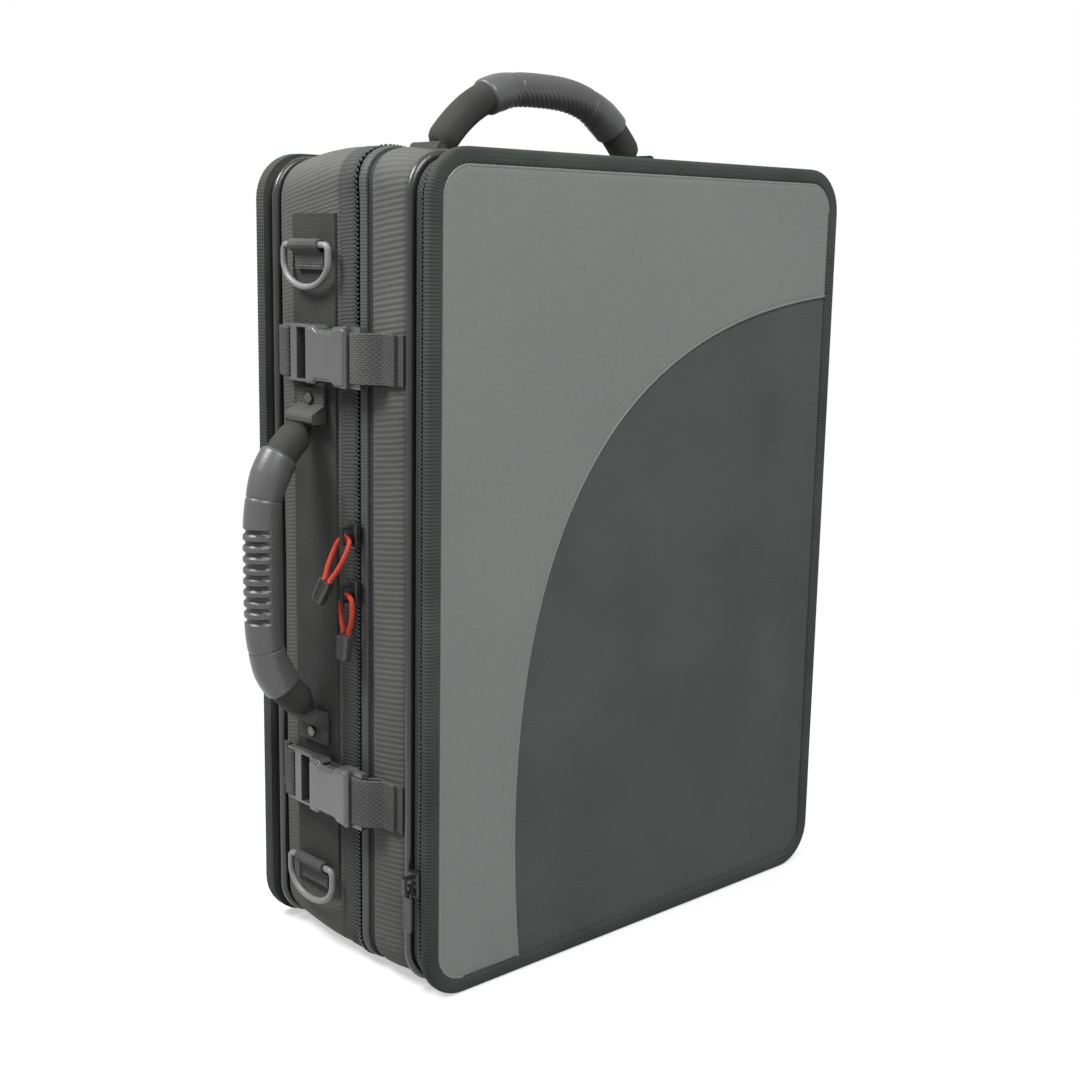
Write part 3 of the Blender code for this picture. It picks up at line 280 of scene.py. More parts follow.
CORNER_STEPS, SIDE_STEPS = 10, 14


def outline(inset, quarters=(0, 1, 2, 3)):
    """The case's outline moved inwards by millimetres, anticlockwise from the right-hand side."""
    radius = CORNER - inset * MM
    reach, low, high = WIDTH / 2 - CORNER, CORNER, HEIGHT - CORNER
    centres = ((reach, high), (-reach, high), (-reach, low), (reach, low))
    points = []
    for quarter in quarters:
        x, z = centres[quarter]
        arc = []
        for step in range(CORNER_STEPS + 1):
            angle = (quarter + step / CORNER_STEPS) * math.pi / 2
            arc.append((CENTRE_X + x + radius * math.cos(angle), z + radius * math.sin(angle)))
        if points:
            points += between(points[-1], arc[0], SIDE_STEPS)
        points += arc
    if len(quarters) == 4:
        points += between(points[-1], points[0], SIDE_STEPS)
    return points


def between(start, end, steps):
    """The points inside a straight stretch."""
    start, end = Vector(start), Vector(end)
    return [tuple(start.lerp(end, step / steps)) for step in range(1, steps)]


def straight(start, end, steps):
    """A straight stretch with its ends."""
    return [start] + between(start, end, steps) + [end]


print("outline points", len(outline(0)))

# %% [markdown]
# Stitches and zip teeth repeat hundreds of times. One is modelled, an Array copies it along a
# straight line, and a Curve modifier bends that line onto the seam. A stitch shows about two thirds
# of its thread, and the rest lies under the cloth.


# %% Lay copies along a path
SHOWN_THREAD = 0.68


def laid_along(name, unit, path, closed, pitch, standing=True):
    """Copies a small piece along a flat path at a pitch, and stands the row up."""
    rail = drawn(path, closed)
    length = running_lengths(path, closed)[-1]
    count = max(1, int(length / pitch))
    with_modifier(
        unit,
        "ARRAY",
        count=count,
        use_relative_offset=False,
        use_constant_offset=True,
        constant_offset_displace=(length / count, 0, 0),
    )
    with_modifier(unit, "CURVE", object=rail, deform_axis="POS_X")
    bpy.data.objects.remove(rail)
    unit.name = name
    if standing:
        stand_up(unit)
    return unit


def stitch_unit(length, thick):
    """One stitch: a thread that dives at both ends."""
    fresh()
    bpy.ops.mesh.primitive_uv_sphere_add(segments=8, ring_count=5, radius=0.5)
    unit = bpy.context.active_object
    unit.rotation_euler = (0, math.pi / 2, 0)
    unit.scale = (thick * MM, thick * MM, length * MM)
    unit.location = (length * MM / 2, 0, 0)
    return set_down(unit)


def stitches(name, path, closed, depth, pitch, material, body, slot, thick):
    """A row of stitches on the front or back face, at a depth in millimetres."""
    row = laid_along(name, stitch_unit(pitch * SHOWN_THREAD, thick), path, closed, pitch * MM)
    row.location.y = at_depth(depth)
    set_down(row)
    soften(row, 60)
    return wear(row, material, body, slot)


print("a stitch of 3.4 mm shows", round(3.4 * SHOWN_THREAD, 2), "mm")

# %% [markdown]
# The cloth of the case shows threads, ribs and grain at the size of a millimetre. Each of these
# effects is a small node group, built once, with its size as an input. They read coordinates in
# metres and put out a height for the bump and a tone that lightens or darkens the colour.


# %% Build the shared effects
def group(name, sizes, outputs):
    """An empty node group that takes a vector and some sizes, with what goes in and out of it."""
    tree = bpy.data.node_groups.new(name, "ShaderNodeTree")
    new_socket = tree.interface.new_socket
    new_socket("Vector", in_out="INPUT", socket_type="NodeSocketVector")
    for label, value in sizes.items():
        socket = new_socket(label, in_out="INPUT", socket_type="NodeSocketFloat")
        socket.default_value = value
    for label in outputs:
        new_socket(label, in_out="OUTPUT", socket_type="NodeSocketFloat")
    start = tree.nodes.new("NodeGroupInput")
    end = tree.nodes.new("NodeGroupOutput")
    return tree, start.outputs, end.inputs


def math_node(tree, operation, first, second=None, third=None):
    """One Math node; each value is a number or another node's output."""
    node = tree.nodes.new("ShaderNodeMath")
    node.operation = operation
    for socket, value in zip(node.inputs, (first, second, third)):
        if value is None:
            continue
        if isinstance(value, (int, float)):
            socket.default_value = value
        else:
            tree.links.new(value, socket)
    return node.outputs[0]


def noise_node(tree, vector, scale, detail):
    """One Noise node; its scale is a number or another node's output."""
    node = tree.nodes.new("ShaderNodeTexNoise")
    node.inputs["Detail"].default_value = detail
    tree.links.new(vector, node.inputs["Vector"])
    if isinstance(scale, (int, float)):
        node.inputs["Scale"].default_value = scale
    else:
        tree.links.new(scale, node.inputs["Scale"])
    return node.outputs["Fac"]


def mix_node(tree, share, first, second):
    """One colour Mix node; a colour is four numbers or another node's output."""
    node = tree.nodes.new("ShaderNodeMix")
    node.data_type = "RGBA"
    tree.links.new(share, node.inputs["Factor"])
    for label, value in (("A", first), ("B", second)):
        if isinstance(value, tuple):
            node.inputs[label].default_value = value
        else:
            tree.links.new(value, node.inputs[label])
    return node.outputs["Result"]


def build_weave():
    """Plain weave: pillows that are warp over weft and weft over warp in turn."""
    tree, start, end = group("plain weave", {"Warp": 0.001, "Weft": 0.001}, ("Height", "Tone"))
    split = tree.nodes.new("ShaderNodeSeparateXYZ")
    tree.links.new(start["Vector"], split.inputs[0])
    waves = []
    for axis, pitch in ((0, "Warp"), (1, "Weft")):
        turns = math_node(tree, "DIVIDE", split.outputs[axis], start[pitch])
        waves.append(math_node(tree, "SINE", math_node(tree, "MULTIPLY", turns, math.pi)))
    over = math_node(tree, "MULTIPLY", waves[0], waves[1])
    height = math_node(tree, "POWER", math_node(tree, "ABSOLUTE", over), 0.5)
    tree.links.new(height, end["Height"])
    tree.links.new(math_node(tree, "MULTIPLY_ADD", over, 0.5, 0.5), end["Tone"])
    return tree


def build_ribs():
    """Ribs across the cloth, crossed by finer threads and wavering a little."""
    sizes = {"Rib": 0.003, "Thread": 0.0012, "Slant": 0.2, "Waver": 0.4}
    tree, start, end = group("cross ribs", sizes, ("Height", "Tone"))
    split = tree.nodes.new("ShaderNodeSeparateXYZ")
    tree.links.new(start["Vector"], split.inputs[0])
    drift = noise_node(tree, start["Vector"], 45, 1)
    lean = math_node(tree, "MULTIPLY_ADD", split.outputs[1], start["Slant"], split.outputs[0])
    turns = math_node(tree, "DIVIDE", lean, start["Rib"])
    turns = math_node(tree, "MULTIPLY_ADD", drift, start["Waver"], turns)
    rib = math_node(tree, "SINE", math_node(tree, "MULTIPLY", turns, 2 * math.pi))
    cross = math_node(tree, "DIVIDE", split.outputs[1], start["Thread"])
    thread = math_node(tree, "SINE", math_node(tree, "MULTIPLY", cross, 2 * math.pi))
    mixed = math_node(tree, "MULTIPLY_ADD", thread, 0.45, rib)
    height = math_node(tree, "MULTIPLY_ADD", mixed, 0.34, 0.5)
    tree.links.new(height, end["Height"])
    tree.links.new(height, end["Tone"])
    return tree


def build_grain():
    """Fine grain with soft blotches, for leather, rubber, plastic and worn cloth."""
    tree, start, end = group("grain", {"Fine": 900, "Broad": 12}, ("Height", "Blotch"))
    fine = tree.nodes.new("ShaderNodeTexVoronoi")
    fine.feature = "SMOOTH_F1"
    tree.links.new(start["Vector"], fine.inputs["Vector"])
    tree.links.new(start["Fine"], fine.inputs["Scale"])
    speck = noise_node(tree, start["Vector"], start["Fine"], 4)
    height = math_node(tree, "MULTIPLY_ADD", speck, 0.5, fine.outputs["Distance"])
    tree.links.new(height, end["Height"])
    tree.links.new(noise_node(tree, start["Vector"], start["Broad"], 3), end["Blotch"])
    return tree


WEAVE, RIBS, GRAIN = build_weave(), build_ribs(), build_grain()
print("effects", WEAVE.name, RIBS.name, GRAIN.name)

# %% [markdown]
# Every finish on the case is one Principled shader with a colour that varies between two tones,
# a roughness and a bump. The effect groups are placed with each finish's own sizes. The tones
# are given as a painter reads them, from 0 to 255, and turned into light values here. Hard finishes
# only need the grain, so one helper makes them all.


# %% A workshop for finishes
def light(red, green, blue):
    """The light value of a colour that is given from 0 to 255."""
    values = []
    for value in (red, green, blue):
        share = value / 255
        values.append(share / 12.92 if share <= 0.04045 else ((share + 0.055) / 1.055) ** 2.4)
    return (*values, 1)


class Finish:
    """One material under construction."""

    def __init__(self, name, roughness, specular=0.3, metallic=0.0):
        self.material = bpy.data.materials.new(name)
        self.material.use_nodes = True
        self.tree = self.material.node_tree
        self.shader = self.tree.nodes["Principled BSDF"]
        self.shader.inputs["Roughness"].default_value = roughness
        self.shader.inputs["Specular IOR Level"].default_value = specular
        self.shader.inputs["Metallic"].default_value = metallic
        place = self.tree.nodes.new("ShaderNodeTexCoord")
        self.places = {"Object": place.outputs["Object"], "UV": place.outputs["UV"]}

    def effect(self, tree, space, **values):
        """Places an effect group on object coordinates or on the piece's own map."""
        node = self.tree.nodes.new("ShaderNodeGroup")
        node.node_tree = tree
        self.tree.links.new(self.places[space], node.inputs["Vector"])
        for label, value in values.items():
            node.inputs[label].default_value = value
        return node

    def turned(self, space, angles):
        """The same coordinates after a turn, for a pattern that runs another way."""
        node = self.tree.nodes.new("ShaderNodeMapping")
        node.inputs["Rotation"].default_value = angles
        self.tree.links.new(self.places[space], node.inputs["Vector"])
        label = f"{space} turned"
        self.places[label] = node.outputs[0]
        return label

    def tones(self, swings, dark, pale, middle=0.5):
        """Mixes two colours by a middle share and the effects' swings, each (output, weight)."""
        total = middle
        for output, weight in swings:
            swing = math_node(self.tree, "SUBTRACT", output, 0.5)
            total = math_node(self.tree, "MULTIPLY_ADD", swing, weight, total)
        mixed = mix_node(self.tree, total, light(*dark), light(*pale))
        self.tree.links.new(mixed, self.shader.inputs["Base Color"])
        return self

    def darkened(self, output, colour):
        """Turns the colour towards another one where a value is high."""
        paint = self.shader.inputs["Base Color"].links[0].from_socket
        mixed = mix_node(self.tree, output, paint, light(*colour))
        self.tree.links.new(mixed, self.shader.inputs["Base Color"])
        return self

    def bumps(self, parts):
        """A chain of Bump nodes, each with its height and its depth in metres."""
        normal = None
        for output, distance in parts:
            bump = self.tree.nodes.new("ShaderNodeBump")
            bump.inputs["Strength"].default_value = 1
            bump.inputs["Distance"].default_value = distance
            self.tree.links.new(output, bump.inputs["Height"])
            if normal:
                self.tree.links.new(normal, bump.inputs["Normal"])
            normal = bump.outputs["Normal"]
        self.tree.links.new(normal, self.shader.inputs["Normal"])
        return self


def grained(name, gloss, fine, broad, weight, dark, pale, depth, middle=0.5):
    """A finish whose tone drifts in blotches and whose bump is the fine grain."""
    made = Finish(name, *gloss)
    grain = made.effect(GRAIN, "Object", Fine=fine, Broad=broad)
    made.tones([(grain.outputs["Blotch"], weight)], dark, pale, middle)
    return made.bumps([(grain.outputs["Height"], depth)])


print("mid grey is", round(light(128, 128, 128)[0], 3), "as light")

# %% [markdown]
# The front's upper part is grey imitation leather: a fine pebble, a soft satin sheen and slight
# clouds of tone. The part below the seam is a tough plain-woven nylon, darker and duller.

# %% Leather and nylon of the front
leather = Finish("pebbled leather", 0.5, 0.35)
pebble = leather.effect(GRAIN, "Object", Fine=950, Broad=9)
leather.tones([(pebble.outputs["Blotch"], 0.5), (pebble.outputs["Height"], 0.4)],
              (112, 114, 113), (137, 139, 137))
leather.bumps([(pebble.outputs["Blotch"], 0.0016), (pebble.outputs["Height"], 0.00007)])

bead_leather = grained("turned leather edge", (0.4, 0.45), 900, 60, 0.6,
                       (114, 117, 115), (136, 139, 136), 0.00008)

nylon = Finish("plain-woven nylon", 0.8, 0.2)
flat_turn = nylon.turned("Object", (-math.pi / 2, 0, 0))
threads = nylon.effect(WEAVE, flat_turn, Warp=0.0013, Weft=0.0011)
cloud = nylon.effect(GRAIN, "Object", Fine=500, Broad=14)
nylon.tones([(threads.outputs["Tone"], 0.55), (cloud.outputs["Blotch"], 0.7)],
            (69, 71, 70), (103, 105, 104))
nylon.bumps([(cloud.outputs["Blotch"], 0.0012), (threads.outputs["Height"], 0.00022)])
print("front finishes made")

# %% [markdown]
# The walls are a ribbed nylon, whose ribs run across the band, lean a little and shimmer. The tapes
# beside the zips have finer ribs, a paler welt lies along the main zip, and the binding is a narrow
# grosgrain with a hint of green. Straps are a basket of threads, and the band behind them and the
# handles' cords are woven closer. All read the sweep's own map, so the pattern follows the case
# round its corners.

# %% Cloth that follows the outline
wall_cloth = Finish("ribbed wall nylon", 0.75, 0.25)
ribs = wall_cloth.effect(RIBS, "UV", Rib=0.0029, Thread=0.0012, Slant=-0.14, Waver=0.3)
cloud = wall_cloth.effect(GRAIN, "Object", Fine=600, Broad=16)
wall_cloth.tones([(ribs.outputs["Tone"], 0.42), (cloud.outputs["Blotch"], 0.95)],
                 (72, 73, 71), (106, 107, 104))
wall_cloth.bumps([(cloud.outputs["Blotch"], 0.0015), (ribs.outputs["Height"], 0.0003)])

back_cloth = Finish("close-ribbed wall nylon", 0.75, 0.25)
ribs = back_cloth.effect(RIBS, "UV", Rib=0.0021, Thread=0.0011, Slant=-0.2, Waver=0.5)
cloud = back_cloth.effect(GRAIN, "Object", Fine=600, Broad=14)
back_cloth.tones([(ribs.outputs["Tone"], 0.38), (cloud.outputs["Blotch"], 0.95)],
                 (76, 77, 75), (108, 109, 106))
back_cloth.bumps([(cloud.outputs["Blotch"], 0.0018), (ribs.outputs["Height"], 0.0002)])


def ribbed(name, gloss, weight, dark, pale, depth, **sizes):
    """A narrow tape whose tone and bump are both its ribs."""
    made = Finish(name, *gloss)
    ribs = made.effect(RIBS, "UV", **sizes)
    made.tones([(ribs.outputs["Tone"], weight)], dark, pale)
    return made.bumps([(ribs.outputs["Height"], depth)])


tape_cloth = ribbed("coarse zip tape", (0.8, 0.2), 0.45, (52, 53, 53), (92, 93, 92), 0.00022,
                    Rib=0.0019, Thread=0.0014, Slant=-0.08, Waver=0.4)
zip_cloth = ribbed("smooth zip tape", (0.75, 0.2), 0.6, (44, 46, 47), (72, 74, 76), 0.00015,
                   Rib=0.0013, Thread=0.0009, Slant=0.0, Waver=0.2)
welt_cloth = ribbed("pale zip welt", (0.6, 0.35), 0.5, (58, 60, 59), (90, 92, 90), 0.00015,
                    Rib=0.0016, Thread=0.0014, Slant=0.0, Waver=0.3)

grosgrain = Finish("grosgrain binding", 0.8, 0.2)
ribs = grosgrain.effect(RIBS, "UV", Rib=0.0017, Thread=0.0022, Slant=0.0, Waver=0.4)
cloud = grosgrain.effect(GRAIN, "Object", Fine=700, Broad=22)
grosgrain.tones([(ribs.outputs["Tone"], 0.22), (cloud.outputs["Blotch"], 1.1)],
                (46, 50, 48), (82, 86, 83))
grosgrain.bumps([(ribs.outputs["Height"], 0.00025)])

webbing = Finish("woven webbing", 0.75, 0.25)
threads = webbing.effect(WEAVE, "UV", Warp=0.0016, Weft=0.0012)
cloud = webbing.effect(GRAIN, "Object", Fine=700, Broad=30)
webbing.tones([(threads.outputs["Tone"], 0.5), (cloud.outputs["Blotch"], 0.9)],
              (52, 53, 53), (106, 107, 105))
webbing.bumps([(threads.outputs["Height"], 0.00024)])

band_cloth = Finish("close-woven webbing", 0.75, 0.25)
threads = band_cloth.effect(WEAVE, "UV", Warp=0.0012, Weft=0.0009)
cloud = band_cloth.effect(GRAIN, "Object", Fine=900, Broad=40)
band_cloth.tones([(threads.outputs["Tone"], 0.35), (cloud.outputs["Blotch"], 0.8)],
                 (40, 41, 40), (78, 79, 77))
band_cloth.bumps([(cloud.outputs["Height"], 0.0002), (threads.outputs["Height"], 0.00016)])
print("cloth finishes made")

# %% [markdown]
# The piping is vinyl over a cord and shines. The sliders are black enamel over metal, with patches
# worn paler, and the rivets are brushed steel. Sewing thread shows its twist as grain, the pulls'
# red cord is braided, and the lining is a deep plush with a soft sheen.

# %% Vinyl, enamel, steel, thread and plush
vinyl = grained("vinyl piping", (0.28, 0.6), 500, 40, 0.8, (34, 35, 35), (58, 59, 58), 0.00006)
enamel = grained("black enamel", (0.3, 0.6, 0.4), 1500, 120, 1.4,
                 (24, 24, 26), (74, 74, 76), 0.00004, middle=0.4)
steel = grained("brushed rivet steel", (0.35, 0.5, 0.9), 1800, 160, 0.9,
                (70, 70, 69), (120, 120, 117), 0.00003)
thread = grained("sewing thread", (0.7, 0.25), 1500, 200, 0.8,
                 (58, 60, 59), (92, 94, 92), 0.00005)
pale_thread = grained("pale sewing thread", (0.65, 0.3), 1500, 200, 0.8,
                      (120, 122, 121), (150, 152, 150), 0.00005)

red_cord = Finish("braided red cord", 0.55, 0.4)
threads = red_cord.effect(WEAVE, "UV", Warp=0.0011, Weft=0.0009)
red_cord.tones([(threads.outputs["Tone"], 0.7)], (150, 22, 12), (236, 84, 60), middle=0.55)
red_cord.bumps([(threads.outputs["Height"], 0.0002)])

plush = Finish("black plush", 0.95, 0.1)
pile = plush.effect(GRAIN, "Object", Fine=420, Broad=26)
plush.tones([(pile.outputs["Blotch"], 0.9), (pile.outputs["Height"], 0.5)],
            (26, 26, 29), (50, 50, 54))
plush.bumps([(pile.outputs["Height"], 0.0006)])
plush.shader.inputs["Sheen Weight"].default_value = 0.4
print("finishes so far", len(bpy.data.materials))

# %% [markdown]
# The floor is a plain white sheet that keeps the contact shadow and melts into the white studio
# further out. To the camera it glows a little, so that only the shadow close to the case stays,
# and to the case it is grey, so that the case grows darker towards its foot, as in the photo.
# The floor turns pure white between two distances from the middle, in metres. The studio lights the
# case evenly, with a large soft lamp in front and a nearer one above the latch side.


# %% Build the studio
def seen_directly(tree, glossy_share):
    """1 for the camera and through glass, a share of it in reflections, and 0 for plain light."""
    rays = tree.nodes.new("ShaderNodeLightPath")
    shown = math_node(tree, "MAXIMUM", rays.outputs["Is Camera Ray"],
                      rays.outputs["Is Transmission Ray"])
    glossy = math_node(tree, "MULTIPLY", rays.outputs["Is Glossy Ray"], glossy_share)
    return math_node(tree, "MAXIMUM", shown, glossy)


FADE = (0.3, 0.75)


def make_floor(bounce, shown, glow):
    """Grey for the case, a glowing white for the camera, and pure white further out."""
    fresh()
    bpy.ops.mesh.primitive_circle_add(vertices=96, radius=6, fill_type="NGON")
    floor = bpy.context.active_object
    floor.name = "studio_floor"
    floor.location.z = -0.0004
    set_down(floor)
    made = Finish("studio floor", 0.9, 0.0)
    tree = made.tree
    direct = seen_directly(tree, 1.0)
    tone = mix_node(tree, direct, (bounce, bounce, bounce, 1), (shown, shown, shown, 1))
    tree.links.new(tone, made.shader.inputs["Base Color"])
    made.shader.inputs["Emission Color"].default_value = (1, 1, 1, 1)
    glowing = math_node(tree, "MULTIPLY", direct, glow)
    tree.links.new(glowing, made.shader.inputs["Emission Strength"])
    length = tree.nodes.new("ShaderNodeVectorMath")
    length.operation = "LENGTH"
    tree.links.new(made.places["Object"], length.inputs[0])
    fade = tree.nodes.new("ShaderNodeMapRange")
    fade.interpolation_type = "SMOOTHSTEP"
    fade.inputs["From Min"].default_value, fade.inputs["From Max"].default_value = FADE
    tree.links.new(length.outputs["Value"], fade.inputs["Value"])
    white = tree.nodes.new("ShaderNodeEmission")
    tree.links.new(direct, white.inputs["Strength"])
    mix = tree.nodes.new("ShaderNodeMixShader")
    tree.links.new(math_node(tree, "MULTIPLY", fade.outputs["Result"], direct), mix.inputs[0])
    tree.links.new(made.shader.outputs["BSDF"], mix.inputs[1])
    tree.links.new(white.outputs["Emission"], mix.inputs[2])
    tree.links.new(mix.outputs["Shader"], tree.nodes["Material Output"].inputs["Surface"])
    floor.data.materials.append(made.material)


def make_studio(even, glossy_share):
    """An even light on the case, which the camera sees as white."""
    world = bpy.data.worlds.new("studio")
    bpy.context.scene.world = world
    world.use_nodes = True
    tree = world.node_tree
    sky = tree.nodes["Background"]
    sky.inputs["Color"].default_value = (1, 1, 1, 1)
    strength = math_node(tree, "MAXIMUM", seen_directly(tree, glossy_share), even)
    tree.links.new(strength, sky.inputs["Strength"])


def lamp(name, location, target, size, power):
    """A round soft lamp that looks at a point."""
    fresh()
    aim = (Vector(target) - Vector(location)).to_track_quat("-Z", "Y").to_euler()
    bpy.ops.object.light_add(type="AREA", location=location, rotation=aim)
    made = bpy.context.active_object
    made.name = name
    made.data.shape = "DISK"
    made.data.size = size
    made.data.energy = power


make_floor(bounce=0.22, shown=0.7, glow=0.5)
make_studio(even=0.36, glossy_share=0.7)
lamp("key_lamp", (-0.3, -1.1, 1.5), (0, 0, 0.22), size=1.0, power=21.5)
lamp("side_lamp", (-0.62, 0.27, 0.95), (-0.13, 0, 0.3), size=0.4, power=8.4)
bpy.context.scene.view_settings.view_transform = "Standard"
print("floor, studio and two lamps in place")

# %% [markdown]
# The front flap is a stiff board covered with leather above a slanting seam and nylon below it.
# Each cover is drawn as an outline, filled, given its thickness by an extrusion, and rounded
# over by two or three insets, which is how cloth turns down at a sewn edge. The seam is a single
# curve from the hinge side down to the bottom edge, drawn from four knots. The leather's edge is
# turned in along it, which shows as a thin bead.

# %% The seam and the two covers
EDGE = 8.3
SEAM_STEPS = 40


def seam_line():
    """The seam's curve, in metres, from the hinge side to the bottom."""
    edge = EDGE * MM
    knots = [
        Vector((WIDTH / 2 - edge, 348 * MM)),
        Vector((10 * MM, 336 * MM)),
        Vector((-118 * MM, 281 * MM)),
        Vector((-90 * MM, edge)),
    ]
    points = []
    for step in range(SEAM_STEPS + 1):
        t = step / SEAM_STEPS
        shares = ((1 - t) ** 3, 3 * t * (1 - t) ** 2, 3 * t * t * (1 - t), t**3)
        place = sum((knot * share for knot, share in zip(knots, shares)), Vector((0, 0)))
        points.append((place.x + CENTRE_X, place.y))
    return points


def moved_left(points, distance):
    """The same line, moved to its left by millimetres."""
    moved = []
    for index, point in enumerate(points):
        before = Vector(points[max(index - 1, 0)])
        after = Vector(points[min(index + 1, len(points) - 1)])
        way = (after - before).normalized()
        moved.append((point[0] - way.y * distance * MM, point[1] + way.x * distance * MM))
    return moved


def raised(name, points, rise, rounding):
    """A flat outline, filled, thickened upwards and rounded by insets of (width, height).

    One more inset without height keeps the shading of the middle face flat.
    """
    piece = made_mesh(drawn(points, True), name)
    open_up(piece, doubles=0.00001)
    bpy.ops.mesh.edge_face_add()
    way = 1 if rise > 0 else -1
    bpy.ops.mesh.extrude_region_move(TRANSFORM_OT_translate={"value": (0, 0, rise * MM)})
    for width, height in rounding + [(0.3, 0)]:
        bpy.ops.mesh.inset(thickness=width * MM, depth=0)
        bpy.ops.transform.translate(value=(0, 0, way * height * MM))
    bpy.ops.mesh.select_all(action="SELECT")
    bpy.ops.mesh.normals_make_consistent(inside=False)
    bpy.ops.object.mode_set(mode="OBJECT")
    return piece


def panel(name, points, low_depth, rise, rounding):
    """A cover on the front or the back, raised from a depth."""
    piece = raised(name, points, rise, rounding)
    piece.location.y = at_depth(low_depth)
    stand_up(piece)
    return soften(piece, 50)


seam = seam_line()
leather_edge = outline(EDGE, (0, 1, 2)) + seam[::-1]
nylon_edge = [seam[-1]] + outline(EDGE, (3,)) + seam[:-1]
rounding = [(0.3, 0.25), (0.7, 0.2), (2.5, 0.15)]
front_leather = panel("front_leather", leather_edge, 1.3, 0.7, rounding)
wear(front_leather, leather.material, "flap", "leather", "leather_cover")
front_nylon = panel("front_nylon", nylon_edge, 1.6, 0.4, [(0.5, 0.1), (2.5, 0.1)])
wear(front_nylon, nylon.material, "flap", "nylon", "nylon_cover")

seam_bead = rounded("seam_bead", upright(moved_left(seam, -0.5), 0.75), 0.9 * MM)
wear(seam_bead, bead_leather.material, "flap", "leather")
edge_bead = rounded("edge_bead", upright(outline(EDGE + 0.4, (0, 1, 2)), 0.9), 1.0 * MM)
wear(edge_bead, bead_leather.material, "flap", "leather")
stitches("seam_stitches", moved_left(seam, -2.9), False, 0.1, 3.1, pale_thread.material,
         "flap", "leather", 0.55)
print("front panels", len(front_leather.data.polygons), len(front_nylon.data.polygons))

# %% [markdown]
# The edges of the flap and of the back are bound with a folded tape, slightly padded, and sewn
# through near its inner edge. A row of pale stitches would be too loud, so the thread is dark. The
# sections below are points of (inwards, depth) in millimetres. Inside its binding, the back is one
# sheet of the same nylon as the front.


# %% Bindings with their stitching
def in_metres(section):
    """A section of (inwards, depth) in millimetres, turned into metres."""
    return [(inward * MM, at_depth(deep)) for inward, deep in section]


front_section = [
    (8.2, 1.5), (8.0, 0.6), (7.4, 0.05), (6.4, -0.25), (4.6, -0.45), (2.6, -0.35), (1.1, 0.05),
    (0.3, 0.8), (0.0, 2.0), (0.0, 4.0), (0.3, 5.1), (1.8, 5.5), (1.8, 1.5),
]
back_section = [
    (1.8, 137.2), (0.3, 137.4), (0.0, 138.6), (0.0, 142.6), (0.3, 144.2), (1.3, 145.0),
    (7.2, 145.0), (8.0, 144.5), (8.2, 143.5), (1.8, 143.5),
]
front_binding = swept("front_binding", outline(0), True, in_metres(front_section))
wear(front_binding, grosgrain.material, "flap", "binding", "flap_binding")
back_binding = swept("rear_binding", outline(0), True, in_metres(back_section))
wear(back_binding, grosgrain.material, "case", "binding", "back_binding")
stitches("front_binding_stitches", outline(6.9), True, -0.12, 3.4, thread.material, "flap",
         "binding", 0.5)
stitches("rear_binding_stitches", outline(6.6), True, 145.0, 3.4, thread.material, "case",
         "binding", 0.5)

back_panel = panel("back_panel", outline(EDGE), 143.6, -1.2, [(0.4, 0.1), (3.0, 0.1)])
wear(back_panel, nylon.material, "case", "nylon", "back_cover")
print("bindings swept")

# %% [markdown]
# Two bands of cloth run round the sides, the lid's wall and the back's, with the main zip between
# them. Each swells a little between its seams. A swell is only a few points in the section, and a
# slow noise then moves the cloth in and out by a fraction of a millimetre. At the two corners of
# the latch side the full case pushes the cloth out further, between its stiff front and back.


# %% Walls round the case
def settle(piece, amount, size):
    """Moves the cloth in and out along its normals by a slow noise."""
    mesh = piece.data
    for vertex in mesh.vertices:
        drift = noise.noise(vertex.co * (1 / size))
        vertex.co += vertex.normal * drift * amount * MM
    mesh.update()
    return piece


def swollen(start, end, swell):
    """A band's section: tucked into its two seams and swollen between them."""
    run = end - start
    points = [(3.2, start - 0.5), (1.1, start + 0.1), (0.35, start + 1.2)]
    for share in (0.14, 0.3, 0.5, 0.7, 0.86):
        points.append((0.1 - swell * math.sin(math.pi * share), start + run * share))
    points += [(0.35, end - 1.2), (1.1, end - 0.1), (3.2, end + 0.5)]
    return points + [(6.5, end + 0.5), (6.5, start - 0.5)]


BELLY_FRONT, BELLY_RUN = 14, 116
TOP_BULGE, BOTTOM_BULGE, BULGE_RISE, BULGE_REACH = 6.0, 3.6, 18, 40


def fattened(piece):
    """Pushes out the two corners of the latch side, most in the middle of their depth."""
    for vertex in piece.data.vertices:
        deep = (vertex.co.y + DEPTH / 2) / MM
        across = (vertex.co.x - (CENTRE_X - WIDTH / 2 + CORNER)) / MM
        belly = math.sin(math.pi * min(max((deep - BELLY_FRONT) / BELLY_RUN, 0), 1))
        for middle, way, bulge in ((HEIGHT - CORNER, 1, TOP_BULGE), (CORNER, -1, BOTTOM_BULGE)):
            along = (vertex.co.z - middle) / MM * way
            if along <= 0 or across >= BULGE_REACH:
                continue
            rise = min(along / BULGE_RISE, 1)
            fade = 0.5 + 0.5 * math.cos(math.pi * max(across, 0) / BULGE_REACH)
            share = rise * rise * (3 - 2 * rise) * fade
            out = Vector((min(across, 0), 0, along * way)).normalized()
            vertex.co += out * bulge * belly * share * MM
    piece.data.update()
    return piece


wall_path = outline(WALL)
lid_band = swept("lid_wall_cloth", wall_path, True, in_metres(swollen(22.2, 50.0, 0.7)))
lid_band = fattened(settle(lid_band, 0.35, 0.05))
wear(lid_band, wall_cloth.material, "lid", "ribbed_nylon", "lid_wall")
back_band = swept("back_wall_cloth", wall_path, True, in_metres(swollen(75.0, 128.0, 0.5)))
back_band = fattened(settle(back_band, 0.3, 0.06))
wear(back_band, back_cloth.material, "case", "ribbed_nylon", "back_wall")

